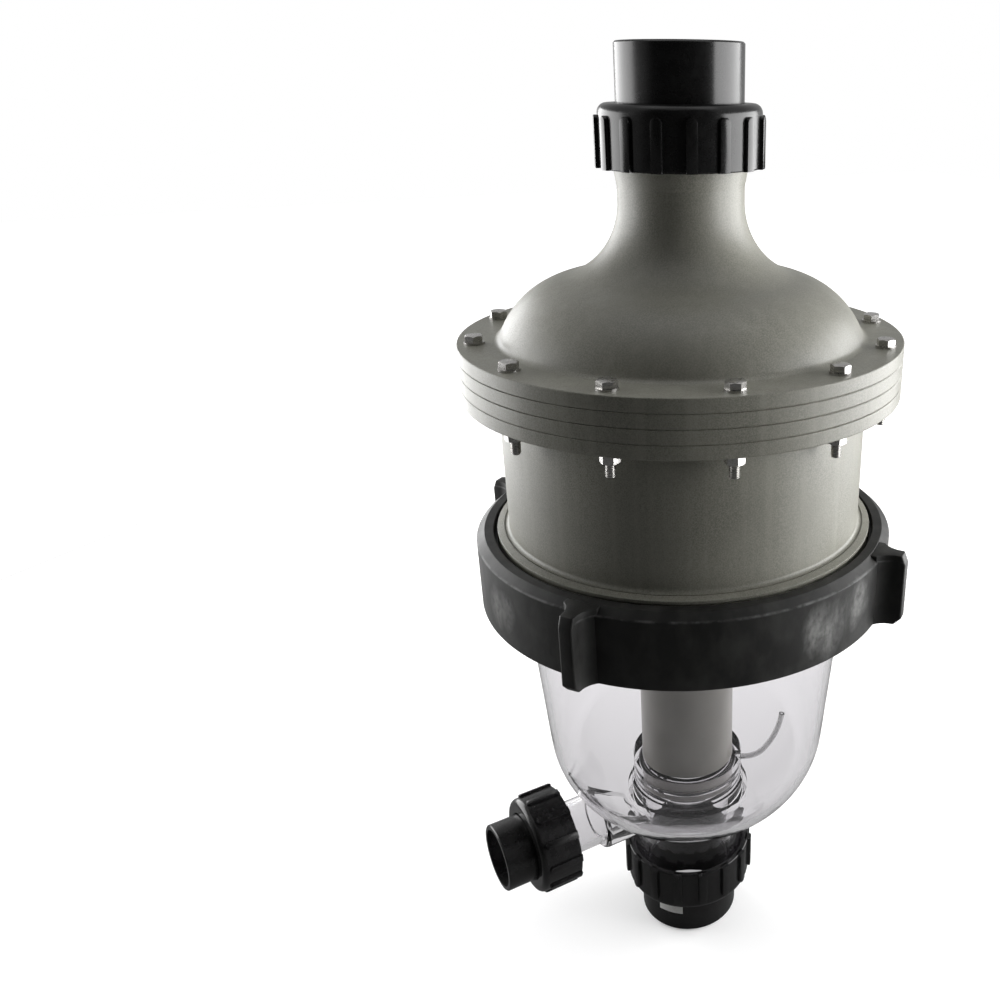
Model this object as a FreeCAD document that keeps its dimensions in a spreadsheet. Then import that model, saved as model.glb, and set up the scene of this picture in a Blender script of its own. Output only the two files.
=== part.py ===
import FreeCAD, Part
import math
import os

import Sketcher
from FreeCAD import Placement, Rotation, Vector

# Centrifugal prefilter for water, in millimetres, +Z up.
# The origin is the centre of the lower rim of the inlet tail, and the drain points along -X.
# Water enters at the bottom, rises through the feed tube, spins in sixteen hydrocyclones and
# leaves at the top. The dirt falls into the clear bowl, which is held by a threaded lock ring.

SIZES = {
    # pipe unions at the inlet and the outlet, measured from the face that the tail seals on
    "pipe_tail_length": 46.6,
    "pipe_tail_wall": 5.85,
    "pipe_socket_radius": 31.65,
    "pipe_socket_depth": 38,
    "pipe_passage_radius": 27,
    "pipe_collar_clearance": 0.5,
    "pipe_collar_height": 7,
    "pipe_rim_chamfer": 1,
    "pipe_end_wall": 11.7,
    "pipe_thread_length": 13.4,
    "pipe_ring_margin": 5.4,
    "pipe_nut_wall": 4.4,
    "pipe_nut_skirt": 20.9,
    "pipe_nut_cap": 7.5,
    "pipe_nut_round": 5.5,
    "pipe_nut_hole_clearance": 0.5,
    "pipe_rib_height": 2.3,
    "pipe_rib_width": 6.6,
    "pipe_rib_setback": 6.5,
    "pipe_rib_count": 16,
    # drain union
    "drain_tail_length": 33.2,
    "drain_tail_wall": 3.25,
    "drain_socket_radius": 20.15,
    "drain_socket_depth": 26,
    "drain_passage_radius": 16.5,
    "drain_collar_clearance": 0.5,
    "drain_collar_height": 6,
    "drain_rim_chamfer": 0.7,
    "drain_hole_radius": 15.5,
    "drain_end_wall": 14.2,
    "drain_thread_length": 12.5,
    "drain_thread_shoulder": 3.2,
    "drain_ring_margin": 7.1,
    "drain_nut_wall": 3.6,
    "drain_nut_skirt": 16.4,
    "drain_nut_cap": 6.5,
    "drain_nut_round": 4,
    "drain_nut_hole_clearance": 0.5,
    "drain_rib_height": 1.7,
    "drain_rib_width": 5.2,
    "drain_rib_setback": 4.8,
    "drain_rib_count": 12,
    # where the ribs stand round each nut, in degrees
    "outlet_rib_angle": -1,
    "inlet_rib_angle": 4.5,
    "drain_rib_angle": 4,
    # clearances
    "thread_gap": 0.3,
    "face_gap": 0.1,
    "slide_gap": 0.4,
    "press_gap": 0.05,
    # seals
    "seal_radius": 1.75,
    "seal_gap": 0.1,
    "small_seal_radius": 0.8,
    "tube_seal_radius": 1.3,
    # clear bowl
    "nipple_length": 51.7,
    "nipple_thread_depth": 1.1,
    "nipple_thread_length": 19.3,
    "bowl_wall": 4,
    "bowl_height": 206.3,
    "bowl_taper_angle": 4.87,
    "bowl_crown_margin": 6.2467,
    "bowl_knuckle_step": 43.5,
    "bowl_root_round": 3,
    "bowl_flange_inset": 0.8,
    "bowl_flange_width": 12.35,
    "bowl_flange_height": 8.3,
    "bowl_seal_inset": 4,
    "feed_socket_wall": 6.5,
    "feed_socket_height": 51.7,
    "feed_socket_depth": 23,
    "feed_step_width": 1.8,
    "feed_step_height": 30,
    "feed_base_width": 3.5,
    "feed_base_height": 21,
    "feed_stop_width": 2.5,
    "feed_stop_depth": 3,
    "lower_seal_height": 10.5,
    # drain stub of the bowl
    "drain_rise": 21.2,
    "drain_reach": 122,
    "drain_stub_wall": 3.5,
    "drain_boss_wall": 8,
    "drain_boss_reach": 80,
    "drain_boss_round": 3,
    "drain_floor_wall": 2.5,
    # bleed tube of the bowl
    "bleed_radius": 2.1,
    "bleed_bore_radius": 1.2,
    "bleed_drop": 7.2,
    "bleed_straight": 1.8,
    "bleed_first_bend": 20,
    "bleed_first_angle": 52,
    "bleed_second_bend": 62,
    "bleed_second_angle": 80,
    "bleed_end": 5,
    "bleed_angle": -33.5,
    # lock ring
    "ring_wall": 13.6,
    "ring_height": 50.3,
    "ring_bevel_width": 5.4,
    "ring_bevel_height": 4.7,
    "ring_edge_round": 1.5,
    "ring_lip_gap": 0.95,
    "ring_lip_height": 7.5,
    "ring_mouth_width": 2.2,
    "ring_mouth_depth": 6.3,
    "lug_count": 4,
    "lug_angle": 33.7,
    "lug_reach": 16.1,
    "lug_setback": 0.3,
    "lug_tip_width": 9,
    "lug_sink": 1.2,
    "lug_root_width": 21.8,
    "lug_flare_radius": 14,
    "lug_flare_length": 11.3,
    "lug_foot_depth": 8.9,
    "lug_top_width": 2.5,
    "lug_top_height": 6.3,
    "lug_bottom_width": 4.5,
    "lug_bottom_height": 5,
    # main body
    "body_wall": 6,
    "body_height": 126.4,
    "body_collar_step": 7.9,
    "body_collar_wall": 8.4,
    "body_collar_height": 35.7,
    "body_collar_slope": 1.2,
    "body_cove": 2.4,
    "body_groove_width": 1,
    "body_groove_depth": 0.7,
    "body_flange_round": 3,
    # bolted flange, four layers of one thickness
    "flange_radius": 139.2033,
    "flange_margin": 10.8,
    "flange_thickness": 8.5,
    "flange_edge_round": 0.8,
    "flange_seal_inset": 10.2,
    # top dome
    "dome_wall": 6.5,
    "dome_radius": 55.7,
    "dome_centre_depth": 19.27,
    "dome_foot_radius": 5,
    "dome_foot_inset": 10.76,
    "neck_bend_radius": 46.3,
    "neck_straight": 8.4,
    "neck_flare_length": 14,
    "neck_flare_width": 2.4,
    "neck_collar": 4,
    # flange bolts
    "bolt_count": 12,
    "bolt_inset": 10.9,
    "bolt_angle": 11.5,
    "bolt_radius": 3,
    "bolt_hole_clearance": 0.3,
    "bolt_end": 8.5,
    "bolt_tip_chamfer": 0.75,
    "bolt_flats": 10,
    "bolt_head": 4,
    "bolt_chamfer_angle": 30,
    "bolt_turn_step": 17,
    "nut_height": 5.5,
    "nut_turn_step": 23,
    "washer_margin": 1.2,
    "washer_thickness": 1.2,
    # cyclone plate
    "pan_gap": 3,
    "pan_room": 7.69,
    "pan_wall": 4,
    "pan_depth": 44.4,
    "pan_floor": 5,
    "pan_boss_wall": 5.5,
    "pan_boss_height": 18,
    "pan_stop_height": 2,
    "upper_seal_depth": 8,
    # hydrocyclones and vortex finders
    "cyclone_count": 16,
    "cyclone_gap": 2.4,
    "cyclone_straight": 36,
    "cyclone_spigot_wall": 1.7,
    "cyclone_spigot_length": 7,
    "cyclone_shoulder": 1.6,
    "cyclone_apex_radius": 2.5,
    "cyclone_tip_wall": 2.5,
    "cyclone_length": 94,
    "cyclone_slot_width": 5,
    "cyclone_slot_height": 14,
    "cyclone_slot_drop": 4,
    "finder_bore_radius": 3.5,
    "finder_wall": 1.5,
    "finder_length": 30,
    "finder_head_width": 2,
    "finder_head_height": 2,
    # feed tube
    "feed_tube_radius": 34.3,
    "feed_tube_wall": 4,
}

doc = FreeCAD.newDocument("CentrifugalPrefilter")
sheet = doc.addObject("Spreadsheet::Sheet", "Sizes")
for row, (alias, value) in enumerate(SIZES.items(), 1):
    sheet.set(f"A{row}", alias)
    sheet.set(f"B{row}", str(value))
    sheet.setAlias(f"B{row}", alias)
doc.recompute()


class Size:
    """A number together with the sheet expression that gives it."""

    def __init__(self, number, text):
        self.number = float(number)
        self.text = text

    @staticmethod
    def of(value):
        return value if isinstance(value, Size) else Size(value, repr(float(value)))

    def joined(self, sign, other, number):
        return Size(number, f"({self.text} {sign} {other.text})")

    def __add__(self, other):
        other = Size.of(other)
        return self.joined("+", other, self.number + other.number)

    def __sub__(self, other):
        other = Size.of(other)
        return self.joined("-", other, self.number - other.number)

    def __mul__(self, other):
        other = Size.of(other)
        return self.joined("*", other, self.number * other.number)

    def __truediv__(self, other):
        other = Size.of(other)
        return self.joined("/", other, self.number / other.number)

    def __radd__(self, other):
        return Size.of(other) + self

    def __rsub__(self, other):
        return Size.of(other) - self

    def __rmul__(self, other):
        return Size.of(other) * self

    def __neg__(self):
        return Size.of(0) - self


def sine(angle):
    return Size(math.sin(math.radians(angle.number)), f"sin({angle.text})")


def cosine(angle):
    return Size(math.cos(math.radians(angle.number)), f"cos({angle.text})")


def tangent(angle):
    return sine(angle) / cosine(angle)


def side(long_side, short_side):
    """The third side of a right-angled triangle."""
    square = long_side * long_side - short_side * short_side
    return Size(math.sqrt(square.number), f"sqrt({square.text})")


class Family:
    """The sheet's sizes whose names start with one prefix, as attributes."""

    def __init__(self, prefix=""):
        self.prefix = prefix

    def __getattr__(self, name):
        alias = self.prefix + name
        return Size(SIZES[alias], f"Sizes.{alias}")


size = Family()
ZERO = Size.of(0)
AXIS_LENGTH = Size.of(10)
OVERCUT = Size.of(1)
# keeps a half circle's radius just above half its chord
HALF_CIRCLE = 1.0001
HEXAGON = 6
TOLERANCE = 0.001


class Union(Family):
    """A pipe union's sizes, and those that follow from them round its bore."""

    def __init__(self, prefix, bore_radius):
        super().__init__(prefix)
        self.bore_radius = bore_radius
        self.thread_radius = bore_radius + self.end_wall
        self.ring_radius = bore_radius + self.ring_margin
        self.collar_radius = self.thread_radius - self.collar_clearance
        self.tail_radius = self.socket_radius + self.tail_wall
        self.nut_bore = self.thread_radius + size.thread_gap
        self.nut_radius = self.nut_bore + self.nut_wall
        self.rib_radius = self.nut_radius + self.rib_height


pipe = Union("pipe_", size.feed_tube_radius - size.feed_stop_width)
drain = Union("drain_", size.drain_hole_radius)

# Radii round the axis that follow from the flange, from the rim inwards
bolt_circle = size.flange_radius - size.flange_margin
body_radius = bolt_circle - size.bolt_inset
body_inner = body_radius - size.body_wall
pan_radius = body_inner - size.pan_gap
pan_inner = pan_radius - size.pan_wall

# The hydrocyclones fill the pan, with a gap between their heads
cyclone_reach = pan_inner - size.pan_room
half_gap = size.cyclone_gap / 2
cyclone_circle = (cyclone_reach + half_gap) / (1 + sine(Size.of(180) / size.cyclone_count))
cyclone_head_radius = cyclone_reach - cyclone_circle
spigot_radius = cyclone_head_radius - size.cyclone_shoulder
cyclone_radius = spigot_radius - size.cyclone_spigot_wall

# Radii that other pieces share, from the middle outwards
feed_bore = size.feed_tube_radius + size.slide_gap
feed_socket_radius = feed_bore + size.feed_socket_wall
feed_step_radius = feed_socket_radius + size.feed_step_width
feed_base_radius = feed_step_radius + size.feed_base_width
nipple_radius = pipe.thread_radius - size.nipple_thread_depth
neck_radius = pipe.bore_radius + size.dome_wall
finder_radius = size.finder_bore_radius + size.finder_wall
finder_head_radius = finder_radius + size.finder_head_width
collar_radius = body_radius + size.body_collar_step
bowl_flange_radius = collar_radius - size.bowl_flange_inset
bowl_rim_radius = bowl_flange_radius - size.bowl_flange_width
bowl_crown_radius = bowl_rim_radius + size.bowl_crown_margin
bowl_knuckle_radius = bowl_crown_radius - size.bowl_knuckle_step
bowl_seal_radius = bowl_flange_radius - size.bowl_seal_inset
ring_bore = collar_radius + size.slide_gap
ring_radius = ring_bore + size.ring_wall
lug_tip_radius = ring_radius + size.lug_reach
flange_seal_radius = bolt_circle - size.flange_seal_inset
flange_hole_radius = size.bolt_radius + size.bolt_hole_clearance

# Heights that pieces share, from the lower sealing face upwards
lower_face = size.pipe_tail_length
bowl_bottom = lower_face + size.nipple_length
bowl_seat = bowl_bottom + size.bowl_height
bowl_top = bowl_seat + size.bowl_flange_height
collar_bottom = bowl_top + size.face_gap
flange_bottom = collar_bottom + size.body_height
cyclone_plate_bottom = flange_bottom + size.flange_thickness
vortex_plate_bottom = cyclone_plate_bottom + size.flange_thickness
dome_bottom = vortex_plate_bottom + size.flange_thickness
flange_top = dome_bottom + size.flange_thickness
ring_top_of_lip = bowl_seat - size.face_gap
ring_bottom = ring_top_of_lip - size.ring_lip_height
pan_top = vortex_plate_bottom - size.pan_depth
socket_top = bowl_bottom + size.feed_socket_height
socket_floor = socket_top - size.feed_socket_depth
drain_level = bowl_bottom + size.drain_rise
bleed_level = socket_top - size.bleed_drop

# The dome's crown and the neck's bend touch, which sets how high the bend starts
dome_foot_x = bolt_circle - size.dome_foot_inset
crown_z = flange_top - size.dome_centre_depth
crown_x = dome_foot_x - side(
    size.dome_radius + size.dome_foot_radius, size.dome_centre_depth + size.dome_foot_radius)
bend_x = neck_radius + size.neck_bend_radius
bend_z = crown_z + side(size.dome_radius + size.neck_bend_radius, bend_x - crown_x)
neck_straight_end = bend_z + size.neck_straight
neck_flare_end = neck_straight_end + size.neck_flare_length
neck_thread_start = neck_flare_end + size.neck_collar
upper_face = neck_thread_start + size.pipe_thread_length


class Corner:
    """A corner of an outline, with how the outline reaches it or rounds it."""

    def __init__(self, x, y, arc=None, turn=0, rounding=None):
        self.x = Size.of(x)
        self.y = Size.of(y)
        self.arc = None if arc is None else Size.of(arc)
        self.turn = turn
        self.rounding = None if rounding is None else Size.of(rounding)

    def point(self):
        return Vector(self.x.number, self.y.number, 0)


def at(x, y):
    return Corner(x, y)


def rounded(x, y, radius):
    return Corner(x, y, rounding=radius)


def arc_left(x, y, radius):
    """Reached by an arc whose centre lies left of the way there."""
    return Corner(x, y, arc=radius, turn=1)


def arc_right(x, y, radius):
    """Reached by an arc whose centre lies right of the way there."""
    return Corner(x, y, arc=radius, turn=-1)


def arc_between(start, end, radius, turn):
    """The shorter arc from start to end, and whether it runs against the clock."""
    chord = end - start
    middle = (start + end) * 0.5
    rise = math.sqrt(max(radius ** 2 - (chord.Length / 2) ** 2, 0))
    left = Vector(-chord.y, chord.x, 0).normalize()
    centre = middle + left * (rise * turn)
    outward = left * (-radius * turn)
    return Part.Arc(start, centre + outward, end), turn > 0


def round_ends(before, corner, after, radius):
    """Where a rounding of that radius leaves and joins the straight sides at a corner."""
    back = (before - corner).normalize()
    ahead = (after - corner).normalize()
    half = back.getAngle(ahead) / 2
    reach = radius / math.tan(half)
    turn = 1 if back.cross(ahead).z < 0 else -1
    return corner + back * reach, corner + ahead * reach, turn


def bind(sketch, constraints, dimensions):
    """Adds the constraints, and ties the dimensions among them to the sheet."""
    first = sketch.ConstraintCount
    for constraint, dimension in dimensions:
        constraints.append(constraint)
    plain = len(constraints) - len(dimensions)
    sketch.addConstraint(constraints)
    for place, (constraint, dimension) in enumerate(dimensions):
        if "Sizes." in dimension.text:
            sketch.setExpression(f"Constraints[{first + plain + place}]", dimension.text)


def place_point(geometry, position, x, y):
    """Two dimensions that hold a point of the sketch from its origin."""
    return [
        (Sketcher.Constraint("DistanceX", -1, 1, geometry, position, x.number), x),
        (Sketcher.Constraint("DistanceY", -1, 1, geometry, position, y.number), y),
    ]


def draw_outline(sketch, corners):
    """Draws a closed outline whose corners and radii are dimensions from the sheet."""
    count = len(corners)
    points = [corner.point() for corner in corners]
    entries = list(points)
    exits = list(points)
    turns = [0] * count
    for k, corner in enumerate(corners):
        if corner.rounding is not None:
            ahead = points[(k + 1) % count]
            ends = round_ends(points[k - 1], points[k], ahead, corner.rounding.number)
            entries[k], exits[k], turns[k] = ends
    pieces = []
    constraints = []
    dimensions = []
    edges = {}

    def add(curve, forward, smooth):
        index = sketch.addGeometry(curve, False)
        pieces.append((index, 1 if forward else 2, 2 if forward else 1, smooth))
        return index

    for k, corner in enumerate(corners):
        ahead = (k + 1) % count
        if corner.rounding is not None:
            curve, forward = arc_between(entries[k], exits[k], corner.rounding.number, turns[k])
            index = add(curve, forward, True)
            held = Sketcher.Constraint("Radius", index, corner.rounding.number)
            dimensions.append((held, corner.rounding))
        target = corners[ahead]
        if target.arc is None:
            edges[k] = add(Part.LineSegment(exits[k], entries[ahead]), True, False)
        else:
            curve, forward = arc_between(exits[k], entries[ahead], target.arc.number, target.turn)
            edges[k] = add(curve, forward, False)
            dimensions.append((Sketcher.Constraint("Radius", edges[k], target.arc.number), target.arc))
        if corner.rounding is None:
            index, start = pieces[-1][0], pieces[-1][1]
            dimensions += place_point(index, start, corner.x, corner.y)
    for k, piece in enumerate(pieces):
        follower = pieces[(k + 1) % len(pieces)]
        kind = "Tangent" if piece[3] or follower[3] else "Coincident"
        constraints.append(Sketcher.Constraint(kind, piece[0], piece[2], follower[0], follower[1]))
    for k, corner in enumerate(corners):
        if corner.rounding is not None:
            mark = sketch.addGeometry(Part.Point(points[k]), True)
            dimensions += place_point(mark, 1, corner.x, corner.y)
            constraints.append(Sketcher.Constraint("PointOnObject", mark, 1, edges[(k - 1) % count]))
            constraints.append(Sketcher.Constraint("PointOnObject", mark, 1, edges[k]))
    bind(sketch, constraints, dimensions)


def origin_part(body, role):
    return next(item for item in body.Origin.OriginFeatures if item.Role == role)


def new_sketch(body, name, plane, offset=None):
    """An empty sketch on one of the body's own planes, moved along its normal by an offset."""
    sketch = body.newObject("Sketcher::SketchObject", name)
    sketch.AttachmentSupport = [(origin_part(body, plane), "")]
    sketch.MapMode = "FlatFace"
    if offset is not None:
        sketch.AttachmentOffset = Placement(Vector(0, 0, offset.number), Rotation())
        sketch.setExpression("AttachmentOffset.Base.z", offset.text)
    return sketch


def set_sizes(item, **sizes):
    """Sets properties of an object and binds them to the sheet."""
    for name, value in sizes.items():
        value = Size.of(value)
        setattr(item, name, value.number)
        if "Sizes." in value.text:
            item.setExpression(name, value.text)


def new_body(label):
    body = doc.addObject("PartDesign::Body", label)
    body.Label = label
    return body


def turn_outline(body, name, corners, kind="Revolution", axis_height=None, angle=None):
    """A solid or a groove turned from an outline in the XZ plane, or at an angle to it.

    The axis is the body's Z axis, or a level line at axis_height.
    """
    sketch = new_sketch(body, f"{name}_outline", "XZ_Plane")
    if angle is not None:
        sketch.AttachmentOffset = Placement(Vector(), Rotation(Vector(0, 1, 0), angle.number))
        sketch.setExpression("AttachmentOffset.Rotation.Angle", angle.text)
    draw_outline(sketch, corners)
    axis = "V_Axis"
    if axis_height is not None:
        start = Vector(0, axis_height.number, 0)
        end = start + Vector(AXIS_LENGTH.number, 0, 0)
        line = sketch.addGeometry(Part.LineSegment(start, end), True)
        level = [Sketcher.Constraint("Horizontal", line)]
        held = place_point(line, 1, ZERO, axis_height)
        held.append((Sketcher.Constraint("Distance", line, AXIS_LENGTH.number), AXIS_LENGTH))
        bind(sketch, level, held)
        axis = "Axis0"
    feature = body.newObject(f"PartDesign::{kind}", name)
    feature.Profile = sketch
    feature.ReferenceAxis = (sketch, [axis])
    feature.Angle = 360
    return feature


def turned(label, corners):
    """A body turned about Z from one outline."""
    body = new_body(label)
    turn_outline(body, f"{label}_turned", corners)
    return body


def pad_outline(body, name, corners, height, plane="XY_Plane", offset=None):
    sketch = new_sketch(body, f"{name}_outline", plane, offset)
    draw_outline(sketch, corners)
    pad = body.newObject("PartDesign::Pad", name)
    pad.Profile = sketch
    set_sizes(pad, Length=height)
    return pad


def repeat_round(body, name, features, count):
    """Repeats features evenly round the body's Z axis."""
    pattern = body.newObject("PartDesign::PolarPattern", name)
    pattern.Originals = features
    pattern.Axis = (origin_part(body, "Z_Axis"), [""])
    pattern.Angle = 360
    pattern.Occurrences = int(count.number)
    pattern.setExpression("Occurrences", count.text)
    body.Tip = pattern
    return pattern


def drill(body, name, x, y, radius, top, depth=None):
    """A round hole straight down from a height, through everything or to a depth."""
    sketch = new_sketch(body, f"{name}_circle", "XY_Plane", top)
    circle = Part.Circle(Vector(x.number, y.number, 0), Vector(0, 0, 1), radius.number)
    index = sketch.addGeometry(circle, False)
    held = place_point(index, 3, x, y)
    held.append((Sketcher.Constraint("Radius", index, radius.number), radius))
    bind(sketch, [], held)
    pocket = body.newObject("PartDesign::Pocket", name)
    pocket.Profile = sketch
    if depth is None:
        pocket.Type = "ThroughAll"
    else:
        set_sizes(pocket, Length=depth)
    return pocket


def drill_bolt_holes(body, top):
    x = bolt_circle * cosine(size.bolt_angle)
    y = bolt_circle * sine(size.bolt_angle)
    hole = drill(body, f"{body.Name}_bolt_hole", x, y, flange_hole_radius, top)
    repeat_round(body, f"{body.Name}_bolt_holes", [hole], size.bolt_count)


def fillet_circle(body, name, radius, height, rounding):
    """Rounds the circular edge of that radius and height."""
    doc.recompute()
    base = body.Tip
    names = []
    for number, edge in enumerate(base.Shape.Edges, 1):
        curve = edge.Curve
        if curve.TypeId != "Part::GeomCircle":
            continue
        off_radius = abs(curve.Radius - radius.number)
        off_height = abs(curve.Center.z - height.number)
        if off_radius < 0.01 and off_height < 0.01:
            names.append(f"Edge{number}")
    fillet = body.newObject("PartDesign::Fillet", name)
    fillet.Base = (base, names)
    set_sizes(fillet, Radius=rounding)
    return fillet


def place(item, x=0, y=0, z=0, turn=None):
    """Places an object, with its place bound to the sheet."""
    spots = {"x": Size.of(x), "y": Size.of(y), "z": Size.of(z)}
    base = Vector(*(spot.number for spot in spots.values()))
    item.Placement = Placement(base, turn or Rotation())
    for name, spot in spots.items():
        if "Sizes." in spot.text:
            item.setExpression(f"Placement.Base.{name}", spot.text)


def face_groove(radius, half_width, face, depth, upward=False):
    """Corners of a seal's groove in a flat face, from its inner side to its outer side."""
    floor = face + depth if upward else face - depth
    inner = radius - half_width
    outer = radius + half_width
    return [at(inner, face), at(inner, floor), at(outer, floor), at(outer, face)]


groove_half_width = size.seal_radius + size.seal_gap
groove_depth = 2 * size.seal_radius + size.seal_gap
seal_inset = size.seal_radius + size.seal_gap / 2


def seal(label, radius, section, x=0, y=0, z=0, turn=None):
    """A rubber ring of round section."""
    ring = doc.addObject("Part::Torus", label)
    ring.Label = label
    set_sizes(ring, Radius1=radius, Radius2=section)
    place(ring, x, y, z, turn)
    return ring


def union_tail(label, union):
    """A glued pipe socket with a collar, standing on its sealing face at z = 0."""
    floor = union.tail_length - union.socket_depth
    chamfer = union.rim_chamfer
    return turned(label, [
        at(union.passage_radius, size.face_gap),
        at(union.collar_radius, size.face_gap),
        rounded(union.collar_radius, union.collar_height, chamfer),
        at(union.tail_radius, union.collar_height),
        at(union.tail_radius, union.tail_length - chamfer),
        at(union.tail_radius - chamfer, union.tail_length),
        at(union.socket_radius, union.tail_length),
        at(union.socket_radius, floor),
        at(union.passage_radius, floor),
    ])


def union_nut(label, union):
    """A ribbed nut that draws the tail's collar onto the sealing face."""
    bore = union.nut_bore
    hole = union.tail_radius + union.nut_hole_clearance
    shoulder = union.collar_height + size.face_gap
    top = shoulder + union.nut_cap
    chamfer = union.rim_chamfer
    body = turned(label, [
        at(bore + chamfer, -union.nut_skirt),
        rounded(union.nut_radius, -union.nut_skirt, chamfer),
        rounded(union.nut_radius, top, union.nut_round),
        at(hole + chamfer, top),
        at(hole, top - chamfer),
        at(hole, shoulder),
        at(bore, shoulder),
        at(bore, chamfer - union.nut_skirt),
    ])
    half = union.rib_width / 2
    start = (bore + union.nut_radius) / 2
    rib = pad_outline(body, f"{label}_rib", [
        at(-half, -union.nut_skirt),
        at(half, -union.nut_skirt),
        at(half, top - union.rib_setback - half),
        arc_left(-half, top - union.rib_setback - half, half * HALF_CIRCLE),
    ], union.rib_radius - start, "YZ_Plane", start)
    repeat_round(body, f"{label}_ribs", [rib], union.rib_count)
    return body


def make_union(name, union, x, z, turn, rib_angle):
    """One pipe union: its tail, its nut and the ring under the tail."""
    tail = union_tail(f"{name}_tail", union)
    place(tail, x, 0, z, turn)
    nut = union_nut(f"{name}_union_nut", union)
    place(nut, x, 0, z, turn * Rotation(Vector(0, 0, 1), rib_angle.number))
    ring_place = turn.multVec(Vector(0, 0, -1))
    inset_x = seal_inset * ring_place.x
    inset_z = seal_inset * ring_place.z
    ring = seal(f"{name}_o_ring", union.ring_radius, size.seal_radius, x + inset_x, 0, z + inset_z, turn)
    return [tail, nut, ring]


def dome_curve(offset):
    """Radii of the neck's bend and the dome's crown, set inwards by an offset, and where they meet."""
    bend = size.neck_bend_radius + offset
    crown = size.dome_radius - offset
    share = crown / (size.dome_radius + size.neck_bend_radius)
    meet_x = crown_x + (bend_x - crown_x) * share
    meet_z = crown_z + (bend_z - crown_z) * share
    return bend, crown, meet_x, meet_z


def make_top_dome():
    bend, crown, meet_x, meet_z = dome_curve(ZERO)
    foot = size.dome_foot_radius
    share = crown / (crown + foot)
    touch_x = crown_x + (dome_foot_x - crown_x) * share
    touch_z = crown_z + (flange_top + foot - crown_z) * share
    in_bend, in_crown, in_x, in_z = dome_curve(size.dome_wall)
    mouth = crown_x + side(in_crown, dome_bottom - crown_z)
    chamfer = size.pipe_rim_chamfer
    corners = [at(pipe.bore_radius, upper_face)]
    corners += face_groove(pipe.ring_radius, groove_half_width, upper_face, groove_depth)
    corners += [
        at(pipe.thread_radius - chamfer, upper_face),
        at(pipe.thread_radius, upper_face - chamfer),
        at(pipe.thread_radius, neck_thread_start),
        at(neck_radius + size.neck_flare_width, neck_flare_end),
        at(neck_radius, neck_straight_end),
        at(neck_radius, bend_z),
        arc_left(meet_x, meet_z, bend),
        arc_right(touch_x, touch_z, crown),
        arc_left(dome_foot_x, flange_top, foot),
        rounded(size.flange_radius, flange_top, size.flange_edge_round),
        rounded(size.flange_radius, dome_bottom, size.flange_edge_round),
    ]
    groove = face_groove(flange_seal_radius, groove_half_width, dome_bottom, groove_depth, True)
    corners += reversed(groove)
    corners += [
        at(mouth, dome_bottom),
        arc_left(in_x, in_z, in_crown),
        arc_right(pipe.bore_radius, bend_z, in_bend),
    ]
    body = turned("top_dome", corners)
    drill_bolt_holes(body, flange_top)
    return body


def flange_plate(bottom):
    """Corners of a flange layer's outer edge, from its top down."""
    top = bottom + size.flange_thickness
    return [
        rounded(size.flange_radius, top, size.flange_edge_round),
        rounded(size.flange_radius, bottom, size.flange_edge_round),
    ]


def make_vortex_plate():
    corners = [at(0, dome_bottom)] + flange_plate(vortex_plate_bottom)
    groove = face_groove(
        flange_seal_radius, groove_half_width, vortex_plate_bottom, groove_depth, True)
    corners += reversed(groove)
    corners += [at(0, vortex_plate_bottom)]
    body = turned("vortex_plate", corners)
    hole = drill(
        body, "finder_hole", cyclone_circle, ZERO, finder_radius + size.press_gap, dome_bottom)
    seat = drill(
        body, "finder_seat", cyclone_circle, ZERO, finder_head_radius + size.press_gap,
        dome_bottom, size.finder_head_height)
    repeat_round(body, "finder_holes", [hole, seat], size.cyclone_count)
    drill_bolt_holes(body, dome_bottom)
    return body


def make_cyclone_plate():
    """A rim in the bolted flange, and a pan that carries the hydrocyclones and the feed tube."""
    floor_bottom = pan_top - size.pan_floor
    tube_bore = size.feed_tube_radius + size.press_gap
    boss = tube_bore + size.pan_boss_wall
    boss_bottom = pan_top - size.pan_boss_height
    stop = pan_top - size.pan_stop_height
    groove_z = stop - size.upper_seal_depth
    groove = size.tube_seal_radius + size.seal_gap
    groove_radius = tube_bore + 2 * size.tube_seal_radius
    corners = [at(pan_inner, vortex_plate_bottom)]
    corners += flange_plate(cyclone_plate_bottom)
    corners += reversed(face_groove(
        flange_seal_radius, groove_half_width, cyclone_plate_bottom, groove_depth, True))
    corners += [
        at(pan_radius, cyclone_plate_bottom),
        rounded(pan_radius, floor_bottom, size.pan_wall),
        at(boss, floor_bottom),
        at(boss, boss_bottom),
        at(tube_bore, boss_bottom),
        at(tube_bore, groove_z - groove),
        at(groove_radius, groove_z - groove),
        at(groove_radius, groove_z + groove),
        at(tube_bore, groove_z + groove),
        at(tube_bore, stop),
        at(size.feed_tube_radius - size.feed_tube_wall, stop),
        at(size.feed_tube_radius - size.feed_tube_wall, pan_top),
        at(pan_inner, pan_top),
    ]
    body = turned("cyclone_plate", corners)
    hole = drill(
        body, "cyclone_hole", cyclone_circle, ZERO, spigot_radius + size.press_gap, pan_top)
    repeat_round(body, "cyclone_holes", [hole], size.cyclone_count)
    drill_bolt_holes(body, vortex_plate_bottom)
    return body


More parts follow.
